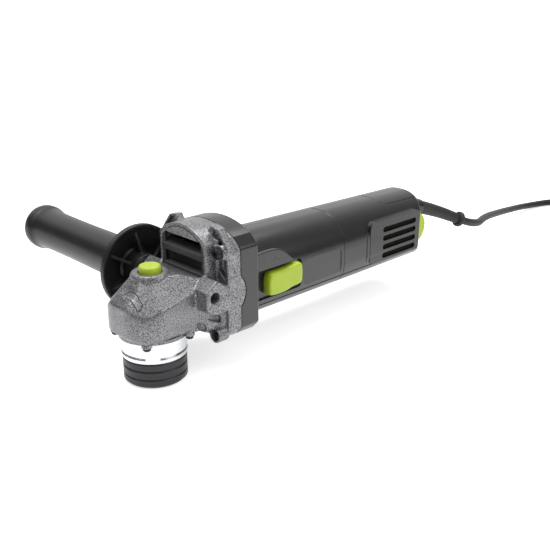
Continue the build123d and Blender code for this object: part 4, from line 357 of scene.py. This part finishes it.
def eased(outline, closed=True):
    """An outline with rounded corners."""
    for _ in range(CORNER_PASSES):
        cut = []
        for a, b in zip(outline, outline[1:] + outline[:1] if closed else outline[1:]):
            a, b = Vector(a), Vector(b)
            cut += [a.lerp(b, CORNER_CUT), a.lerp(b, 1 - CORNER_CUT)]
        outline = cut if closed else [Vector(outline[0])] + cut[1:-1] + [Vector(outline[-1])]
    return outline


def inset(outline, distance):
    """A closed outline moved inwards."""
    area = sum(a.x * b.y - b.x * a.y for a, b in zip(outline, outline[1:] + outline[:1]))
    side = 1 if area > 0 else -1
    moved = []
    for before, here, after in zip(outline[-1:] + outline[:-1], outline, outline[1:] + outline[:1]):
        along = (after - before).normalized()
        moved.append(here + Vector((-along.y, along.x)) * distance * side)
    return moved


def skin(shape, rings, close_ends=True):
    """Quads between closed rings of points, in millimetres."""
    rows = [[shape.verts.new(mm(*point)) for point in ring] for ring in rings]
    for low, high in zip(rows, rows[1:]):
        for i in range(len(low)):
            j = (i + 1) % len(low)
            shape.faces.new((low[i], low[j], high[j], high[i]))
    if close_ends:
        shape.faces.new(rows[0])
        shape.faces.new(rows[-1])


def pad(shape, outline, face_y, levels):
    """A rounded pad that faces -y: outline in x and z, levels of (inset, depth below its face)."""
    rings = []
    for step, depth in levels:
        rings.append([(point.x, face_y + depth, point.y) for point in inset(outline, step)])
    edge = [Vector(point) for point in rings[-1]]
    middle = sum(edge, Vector((0, 0, 0))) / len(edge)
    # rings across the face keep its shading even
    for share in (0.1, 0.3, 0.6, 0.97):
        rings.append([tuple(point.lerp(middle, share)) for point in edge])
    skin(shape, rings)


def brick(shape, low, high, bevel_mm=0.0):
    """A block between two corners, with rounded edges."""
    low, high = mm(*low), mm(*high)
    made = bmesh.ops.create_cube(shape, size=1.0)["verts"]
    for vert in made:
        vert.co = Vector([low[i] + (high[i] - low[i]) * (vert.co[i] + 0.5) for i in range(3)])
    if bevel_mm:
        edges = list({edge for vert in made for edge in vert.link_edges})
        bmesh.ops.bevel(
            shape, geom=edges, offset=bevel_mm * MM, segments=3, profile=0.5, affect="EDGES"
        )


# ---------------------------------------------------------------- gear head
CASTING_VOXEL = 0.6
CASTING_PASSES = 4
ROOF_PASSES = 30
# where the roof's extra rounding starts, and over what length it grows to full
BUTTON_COLLAR_R, COLLAR_FADE = 12.5, 3
ROOF_REAR_X, REAR_FADE = 16, 4
ROOF_LOW_Z, LOW_FADE = 37, 5


def roof_share(point):
    """1 on the gear head's roof and front corners, 0 at the button's collar, the hood and the boss."""
    outside_collar = clamped((math.hypot(point.x, point.y) - BUTTON_COLLAR_R) / COLLAR_FADE)
    before_hood = clamped((ROOF_REAR_X - point.x) / REAR_FADE)
    above_boss = clamped((point.z - ROOF_LOW_Z) / LOW_FADE)
    return outside_collar * before_hood * above_boss


casting = softened("gear_casting", "gearbox_housing", "housing", CASTING_VOXEL, CASTING_PASSES)
blended(casting, roof_share, ROOF_PASSES)

# the arrow that shows which way the spindle turns, a dark line of painted shade for its groove: x and y of
# its corners, and its line
ARROW = [(-20.4, 2.6), (-16.6, -1.6), (-16.6, -15.0), (-20.6, -15.0), (-20.6, -2.8), (-23.0, -2.8)]
LINE_WIDTH = 0.45
LINE_LIFT = 0.12
LINE_DEPTH = 0.4
LINE_STEP = 0.7
# the rays that look for the roof start here
ABOVE_ROOF_Z = 200


def on_surface(obj, x, y):
    """The height of a piece's top at a place, in millimetres."""
    found, place, _, _ = obj.ray_cast(mm(x, y, ABOVE_ROOF_Z), Vector((0, 0, -1)))
    return place.z / MM if found else 0.0


def drawn_line(shape, target, points, width):
    """A thin closed line that follows the top of a piece."""
    dense = []
    for a, b in zip(points, points[1:] + points[:1]):
        a, b = Vector(a), Vector(b)
        steps = max(2, round((b - a).length / LINE_STEP))
        dense += [a.lerp(b, step / steps) for step in range(steps)]
    rings = []
    for out, core in zip(inset(dense, -width / 2), inset(dense, width / 2)):
        out_z, core_z = on_surface(target, out.x, out.y), on_surface(target, core.x, core.y)
        rings.append(
            [
                (out.x, out.y, out_z - LINE_DEPTH),
                (out.x, out.y, out_z + LINE_LIFT),
                (core.x, core.y, core_z + LINE_LIFT),
                (core.x, core.y, core_z - LINE_DEPTH),
            ]
        )
    skin(shape, rings + rings[:1], close_ends=False)


shape = bmesh.new()
drawn_line(shape, casting, ARROW, LINE_WIDTH)
modelled("turn_arrow", shape, "hammer_grey", "housing", finish="arrow")

# the bearing cover: its flange is painted with the casting, its collar is bright
FLANGE_LOW_Z = 31.2
cover_mesh = frame["nodes"]["bearing_cover"].data.copy()
piece("guard_collar", cover_mesh, "bright_aluminium", "housing", "bearing_cover")
cover_mesh.materials.append(finishes["hammer_grey"])
for face in cover_mesh.polygons:
    face.material_index = int(face.center.z > FLANGE_LOW_Z * MM)

# louvre: a plate inside the hood's arch with two openings, and a thick bar below each
deflector_low, deflector_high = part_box("air_deflector")
plate_x = deflector_low.x / MM + 1.8
plate_half = deflector_high.y / MM
plate_low = deflector_low.z / MM
plate_top = deflector_high.z / MM
PLATE_THICKNESS = 2.0
# the openings' lower and upper edges, and half their width
OPENINGS = [(71.0, 77.2), (84.2, 90.0)]
OPENING_HALF = 19.0
# the bars stand out to the front, where their top slopes down
BAR_FRONT = 1.4
BAR_DEPTH = 6.0
BAR_SLOPE = 2.6
BAR_EDGE = 0.4
front_x, back_x = plate_x - BAR_FRONT, plate_x + BAR_DEPTH

shape = bmesh.new()
for low_z, top_z in ((plate_low, OPENINGS[0][0]), (OPENINGS[0][1], OPENINGS[1][0])):
    bar = [
        (front_x, low_z + BAR_EDGE),
        (front_x, top_z - BAR_SLOPE - BAR_EDGE),
        (front_x + BAR_EDGE, top_z - BAR_SLOPE),
        (back_x - 1, top_z),
        (back_x, top_z),
        (back_x, low_z),
        (front_x + BAR_EDGE, low_z),
    ]
    skin(shape, [[(x, y, z) for x, z in bar] for y in (-plate_half, plate_half)])
for side in (-1, 1):
    inner, outer = sorted((side * OPENING_HALF, side * plate_half))
    low = (plate_x - 0.6, inner, plate_low)
    high = (plate_x + PLATE_THICKNESS, outer, OPENINGS[1][1] + 1)
    brick(shape, low, high, bevel_mm=0.4)
# the louvre's lighter grey is a painted sheen
modelled("outlet_louvre", shape, "black_plastic", "housing", "air_deflector", finish="louvre")


def arch(half, rise, top_z, low_z, count=16):
    """The part above low_z of the hood's inner arch, which rises from its half width."""
    radius = (half * half + rise * rise) / (2 * rise)
    end = math.acos((low_z - top_z + radius) / radius)
    angles = [end * (2 * step / count - 1) for step in range(count + 1)]
    return [Vector((radius * math.sin(a), top_z - radius + radius * math.cos(a))) for a in angles]


# the brow above the openings belongs to the casting
ARCH_RISE = 9.4
crown = arch(plate_half, ARCH_RISE, plate_top, OPENINGS[1][1])
shape = bmesh.new()
skin(shape, [[(x, point.x, point.y) for point in crown] for x in (front_x, plate_x + PLATE_THICKNESS)])
modelled("outlet_brow", shape, "hammer_grey", "housing")

# painted shade: a near-black sheet behind the lower opening, a little larger than the opening, stands for the
# shade inside
SHADE_SHEET_EDGE = 0.5
shape = bmesh.new()
brick(
    shape,
    (plate_x + 1.6, -OPENING_HALF - SHADE_SHEET_EDGE, OPENINGS[0][0] - SHADE_SHEET_EDGE),
    (plate_x + 2.4, OPENING_HALF + SHADE_SHEET_EDGE, OPENINGS[0][1] + SHADE_SHEET_EDGE),
)
modelled("outlet_painted_shade", shape, "black_plastic", "housing", finish="painted_shade_black")

# the button's return spring, as a piece with a mesh of its own
spring_mesh = frame["nodes"]["lock_spring"].data.copy()
spring = piece("return_spring", spring_mesh, "zinc_steel", "housing", "lock_spring")
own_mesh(spring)

# ---------------------------------------------------------------- side handle
grip_low, grip_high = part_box("handle_grip")
grip_x = (grip_low.x + grip_high.x) / 2 / MM
grip_z = (grip_low.z + grip_high.z) / 2 / MM
grip_start = grip_low.y / MM
grip_end = grip_high.y / MM
# from the hand guard to the grip's far end: the place along y, and the radius there
grip_outline = eased(
    [
        (grip_start, 12.5),
        (grip_start, 14.6),
        (grip_start + 3, 15.3),
        (grip_start + 20, 15.4),
        (grip_start + 60, 15.0),
        (grip_end - 30, 15.2),
        (grip_end - 17, 15.6),
        (grip_end - 12, 16.4),
        (grip_end - 9, 17.7),
        (grip_end - 3.5, 17.7),
        (grip_end - 0.6, 16.6),
        (grip_end, 13.5),
        (grip_end, 6.0),
        (grip_end - 0.6, 5.0),
    ],
    closed=False,
)
GRIP_STEPS = 96
angles = [2 * math.pi * step / GRIP_STEPS for step in range(GRIP_STEPS)]
rings = []
for y, radius in grip_outline:
    rings.append([(grip_x + radius * math.cos(a), y, grip_z + radius * math.sin(a)) for a in angles])
shape = bmesh.new()
skin(shape, rings)
modelled("grip", shape, "handle_plastic", "housing", "handle_grip", sharp_angle=50)

# ---------------------------------------------------------------- slider
slider_low, slider_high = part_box("switch_slider")
slider_face_y = slider_low.y / MM
# x and z round the slider, from its lower front corner to the rear
slider_outline = eased(
    [
        (71.8, 46.0),
        (74.0, 44.0),
        (80.0, 43.6),
        (89.0, 43.8),
        (93.0, 45.4),
        (101.0, 45.6),
        (103.8, 47.5),
        (104.2, 54.0),
        (103.6, 61.0),
        (101.0, 62.0),
        (95.0, 61.8),
        (88.0, 60.2),
        (76.0, 60.6),
        (73.0, 59.0),
        (71.8, 55.0),
    ]
)
shape = bmesh.new()
pad(
    shape,
    slider_outline,
    slider_face_y,
    [(0.3, 6.7), (0.0, 3.4), (0.12, 2.2), (0.35, 1.3), (0.65, 0.65), (0.95, 0.2), (1.2, 0.0)],
)
# the stem that reaches in to the push rod
brick(shape, (80.2, slider_face_y + 6.5, 52.4), (87.8, slider_high.y / MM, 56.6))
modelled("slider_cap", shape, "lime_plastic", "slider", "switch_slider", sharp_angle=60)

# ---------------------------------------------------------------- hump above the slider, with its marks
HUMP_Y = -31.2
# x and z round the hump, from its lower front corner up
hump_outline = eased(
    [
        (57.0, 63.3),
        (57.0, 75.8),
        (67.0, 76.0),
        (76.0, 76.3),
        (84.0, 75.4),
        (89.5, 71.6),
        (94.5, 67.0),
        (98.5, 64.4),
        (96.0, 63.3),
        (80.0, 63.3),
    ]
)
shape = bmesh.new()
pad(shape, hump_outline, HUMP_Y, [(0, 3.2), (0, 0.5), (0.1, 0.2), (0.25, 0.05), (0.4, 0)])
modelled("switch_hump", shape, "black_plastic", "housing", sharp_angle=60)

# the marks I and O, both in relief, in a lighter grey that paints their highlights
MARKS_Z = 69.0
MARK_RELIEF = 0.22
ON_FRONT_X, ON_REAR_X = 70.0, 70.7
ON_HALF_HEIGHT = 2.0
OFF_X = 81.4
OFF_RADIUS = 1.8


def ring_mark(shape, x, z, y, radius, width=0.35, steps=32):
    """A raised ring on a face that looks to -y."""
    section = [(-width, 0.1), (-width / 2, -MARK_RELIEF), (width / 2, -MARK_RELIEF), (width, 0.1)]
    rings = []
    for step in range(steps + 1):
        a = 2 * math.pi * step / steps
        rings.append(
            [(x + (radius + dr) * math.cos(a), y + dy, z + (radius + dr) * math.sin(a)) for dr, dy in section]
        )
    skin(shape, rings, close_ends=False)


shape = bmesh.new()
ring_mark(shape, OFF_X, MARKS_Z, HUMP_Y, OFF_RADIUS)
brick(
    shape,
    (ON_FRONT_X, HUMP_Y - MARK_RELIEF, MARKS_Z - ON_HALF_HEIGHT),
    (ON_REAR_X, HUMP_Y + 0.3, MARKS_Z + ON_HALF_HEIGHT),
    bevel_mm=0.1,
)
modelled("switch_marks", shape, "black_plastic", "housing", finish="marks", sharp_angle=60)

# ---------------------------------------------------------------- dust screens behind the vents
SCREEN_PITCH = 1.2
WIRE_HALF = 0.25
SCREEN_HALF = 0.2
SCREEN_FRONT_X, SCREEN_REAR_X = 195.5, 240.0
SCREEN_LOW_Z, SCREEN_TOP_Z = 39.5, 66.5


def wires(low, high):
    """The middles of a screen's wires between two of its edges."""
    return [low + step * SCREEN_PITCH for step in range(1, int((high - low) / SCREEN_PITCH))]


for name, screen_y in (("dust_screen_right", -27.1), ("dust_screen_left", 27.1)):
    shape = bmesh.new()
    # painted shade: a closed dark sheet behind the wires stands for the shade inside
    inward = math.copysign(1, -screen_y)
    sheet_low_y, sheet_high_y = sorted((screen_y + inward * 0.2, screen_y + inward * 0.4))
    brick(shape, (SCREEN_FRONT_X, sheet_low_y, SCREEN_LOW_Z), (SCREEN_REAR_X, sheet_high_y, SCREEN_TOP_Z))
    low_y, high_y = screen_y - SCREEN_HALF, screen_y + SCREEN_HALF
    for x in wires(SCREEN_FRONT_X, SCREEN_REAR_X):
        brick(shape, (x - WIRE_HALF, low_y, SCREEN_LOW_Z), (x + WIRE_HALF, high_y, SCREEN_TOP_Z))
    for z in wires(SCREEN_LOW_Z, SCREEN_TOP_Z):
        brick(shape, (SCREEN_FRONT_X, low_y, z - WIRE_HALF), (SCREEN_REAR_X, high_y, z + WIRE_HALF))
    modelled(name, shape, "black_plastic", "housing", finish="screen")

# ---------------------------------------------------------------- cord
CORD_R = 3.4
# from inside the strain relief, down to the table and into the coil
lead_route = [
    (226, -11, 70.3),
    (250, -11, 70.3),
    (284, -16.5, 59.2),
    (324, -31.6, 40.6),
    (375, -8.5, 33.5),
    (449.8, 18, 18),
    (506, 32.2, 8.5),
    (541, 35.2, 4.2),
    (574.5, 27, 3.6),
]
# from the coil to the plug
tail_route = [
    (606, -74, 17.5),
    (593, -92, 15.5),
    (573, -101, 13.5),
    (551.5, -102.5, 13),
]
COIL_X, COIL_Y = 583.0, -32.0
# each turn of the coil: its radius and the height of its middle
coil_turns = [(43, 3.6), (36, 3.6), (29, 3.6), (29, 10.6), (36, 10.6), (43, 10.6), (36, 17.2)]
# in degrees: where the coil starts, a turn, the change at its end, where the coil ends, and the
# step from one control point to the next
FIRST_ANGLE = 25.0
TURN = 320.0
CHANGE = 40.0
LAST_ANGLE = 120.0
POINT_STEP = 20
# under the tie the coil lies 1 mm higher
TIE_ANGLE = 270.0
TIE_REACH = 16
# a control point stands a little outside the turn that it makes
CONTROL_RADIUS = 1.008


def smooth(share):
    """A share that leaves 0 and reaches 1 without a kink."""
    share = clamped(share)
    return share * share * (3 - 2 * share)


def coil_points():
    """The turns, clockwise from above; each ends in a change to the next one's radius and height."""
    last = FIRST_ANGLE + TURN * (len(coil_turns) - 1)
    end = last + (LAST_ANGLE - last) % 360
    count = round((end - FIRST_ANGLE) / POINT_STEP)
    points = []
    for step in range(count + 1):
        turned = (end - FIRST_ANGLE) * step / count
        index = min(int(turned / TURN), len(coil_turns) - 1)
        radius, height = coil_turns[index]
        if index < len(coil_turns) - 1:
            share = smooth((turned - index * TURN - (TURN - CHANGE)) / CHANGE)
            radius += (coil_turns[index + 1][0] - radius) * share
            height += (coil_turns[index + 1][1] - height) * share
        angle = FIRST_ANGLE + turned
        from_tie = (angle - TIE_ANGLE + 180) % 360 - 180
        height += math.exp(-((from_tie / TIE_REACH) ** 2))
        a = math.radians(angle)
        radius *= CONTROL_RADIUS
        points.append((COIL_X + radius * math.sin(a), COIL_Y + radius * math.cos(a), height))
    return points


def cord_curve(name, points, radius_mm):
    """A round tube along control points."""
    curve = bpy.data.curves.new(name, "CURVE")
    curve.dimensions = "3D"
    spline = curve.splines.new("NURBS")
    spline.points.add(len(points) - 1)
    for point, place in zip(spline.points, points):
        point.co = (*mm(*place), 1.0)
    spline.order_u = 3
    spline.use_endpoint_u = True
    spline.resolution_u = 8
    curve.bevel_depth = radius_mm * MM
    curve.bevel_resolution = 5
    curve.use_fill_caps = True
    return curve


cord_data = cord_curve("mains_cord", lead_route + coil_points() + tail_route, CORD_R)
cord = piece("mains_cord", cord_data, "cord_sheath", "housing", "cord_lead", "cord_coil", "cord_tail")

# ---------------------------------------------------------------- floor, light and camera
# level directions: to the left of the picture, to the camera and to the tool's rear
LEFTWARD = (-0.69, 0.72, 0)
TO_CAMERA = (-0.69, -0.72, 0)
REARWARD = (1, 0, 0)
# reflections see the floor dimmer beyond these: direction, from and to in metres, and what is left
FLOOR_FADES = [(LEFTWARD, 0.12, 0.24, 0.0), (TO_CAMERA, 0.09, 0.2, 0.0), (REARWARD, 0.25, 0.33, 0.2)]
FLOOR_LIFT = 0.62
FLOOR_REACH = 40.0
FLOOR_Z = -0.0003


def floor_paint():
    """A pale surface that the camera sees lifted to white, and that keeps the object's shadow."""
    material = bpy.data.materials.new("floor_white")
    graph = Graph(material)
    path = graph.add("LightPath", {}).outputs
    place = graph.add("NewGeometry", {}).outputs["Position"]
    mirrored = path["Is Glossy Ray"]
    for direction, start, end, left in FLOOR_FADES:
        share = graph.spread(graph.along(place, direction), 1.0, left, start, end)
        mirrored = graph.combine("MULTIPLY", mirrored, share)
    seen = graph.combine("MAXIMUM", path["Is Camera Ray"], mirrored)
    seen = graph.combine("MAXIMUM", seen, path["Is Transmission Ray"])
    graph.fill(
        graph.nodes["Principled BSDF"],
        {
            "Base Color": (0.9, 0.9, 0.9, 1),
            "Roughness": 0.9,
            "Specular IOR Level": 0.0,
            "Emission Color": WHITE,
            "Emission Strength": graph.combine("MULTIPLY", seen, FLOOR_LIFT),
        },
    )
    return material


floor_mesh = bpy.data.meshes.new("floor")
corners = [(x * FLOOR_REACH, y * FLOOR_REACH, 0) for x, y in ((-1, -1), (1, -1), (1, 1), (-1, 1))]
floor_mesh.from_pydata(corners, [], [(0, 1, 2, 3)])
floor_mesh.materials.append(floor_paint())
floor = bpy.data.objects.new("floor", floor_mesh)
floor.location.z = FLOOR_Z
bpy.context.scene.collection.objects.link(floor)

# The world lights the tool dimly. The camera sees it white. Reflections see a room that is white
# behind the tool, dimmer in front of it, and dark past a flag on the left of the picture.
ROOM_LIGHT = 0.3
world = bpy.data.worlds.new("studio")
bpy.context.scene.world = world
sky = Graph(world)
path = sky.add("LightPath", {}).outputs
way = sky.add("TexCoord", {}).outputs["Generated"]
backdrop = sky.spread(sky.along(way, (0, 1, 0)), 0.3, 1.0, start=-0.45, end=0.35)
beside_flag = sky.spread(sky.along(way, LEFTWARD), 1.0, 0.12, start=0.7, end=0.88)
room = sky.combine("MULTIPLY", backdrop, beside_flag)
brightness = sky.combine("MAXIMUM", room, path["Is Camera Ray"])
seen = sky.combine("MAXIMUM", path["Is Camera Ray"], path["Is Glossy Ray"])
seen = sky.combine("MAXIMUM", seen, path["Is Transmission Ray"])
lighting = sky.nodes["Background"]
sky.fill(lighting, {"Color": WHITE, "Strength": ROOM_LIGHT})
studio = sky.add("Background", {"Color": WHITE, "Strength": brightness})
pick = sky.add("MixShader", {"Fac": seen, 1: lighting.outputs[0], 2: studio.outputs[0]})
sky.fill(sky.nodes["World Output"], {"Surface": pick.outputs[0]})


def softbox(name, place, aim, size, power):
    """A rectangular lamp at a place, turned to an aim, both in millimetres; size is in metres."""
    light = bpy.data.lights.new(name, "AREA")
    light.shape = "RECTANGLE"
    light.size, light.size_y = size
    light.energy = power
    obj = bpy.data.objects.new(name, light)
    obj.location = mm(*place)
    obj.rotation_euler = (mm(*aim) - mm(*place)).to_track_quat("-Z", "Y").to_euler()
    bpy.context.scene.collection.objects.link(obj)


softbox("key", place=(500, -1000, 900), aim=(60, 0, 50), size=(0.9, 0.9), power=6.5)
softbox("top", place=(150, 250, 1200), aim=(120, 20, 50), size=(1.6, 0.45), power=11)

sun = bpy.data.lights.new("fill", "SUN")
sun.energy = 0.95
sun.angle = math.radians(50)
sun_object = bpy.data.objects.new("fill", sun)
sun_object.rotation_euler = (math.radians(4), math.radians(-6), 0)
bpy.context.scene.collection.objects.link(sun_object)

camera_data = bpy.data.cameras.new("camera")
camera_data.sensor_width = 36
camera_data.lens = 51.05
camera_data.clip_start = 0.01
camera = bpy.data.objects.new("camera", camera_data)
right = Vector((0.723, -0.6908, -0.0025))
up = Vector((0.244, 0.252, 0.9365))
back = Vector((-0.6463, -0.6777, 0.3507))
stand = Matrix((right, up, back)).transposed().to_4x4()
stand.translation = mm(-260.6, -387.2, 242.0)
camera.matrix_world = stand
bpy.context.scene.collection.objects.link(camera)
bpy.context.scene.camera = camera

bpy.context.scene.view_settings.view_transform = "Standard"
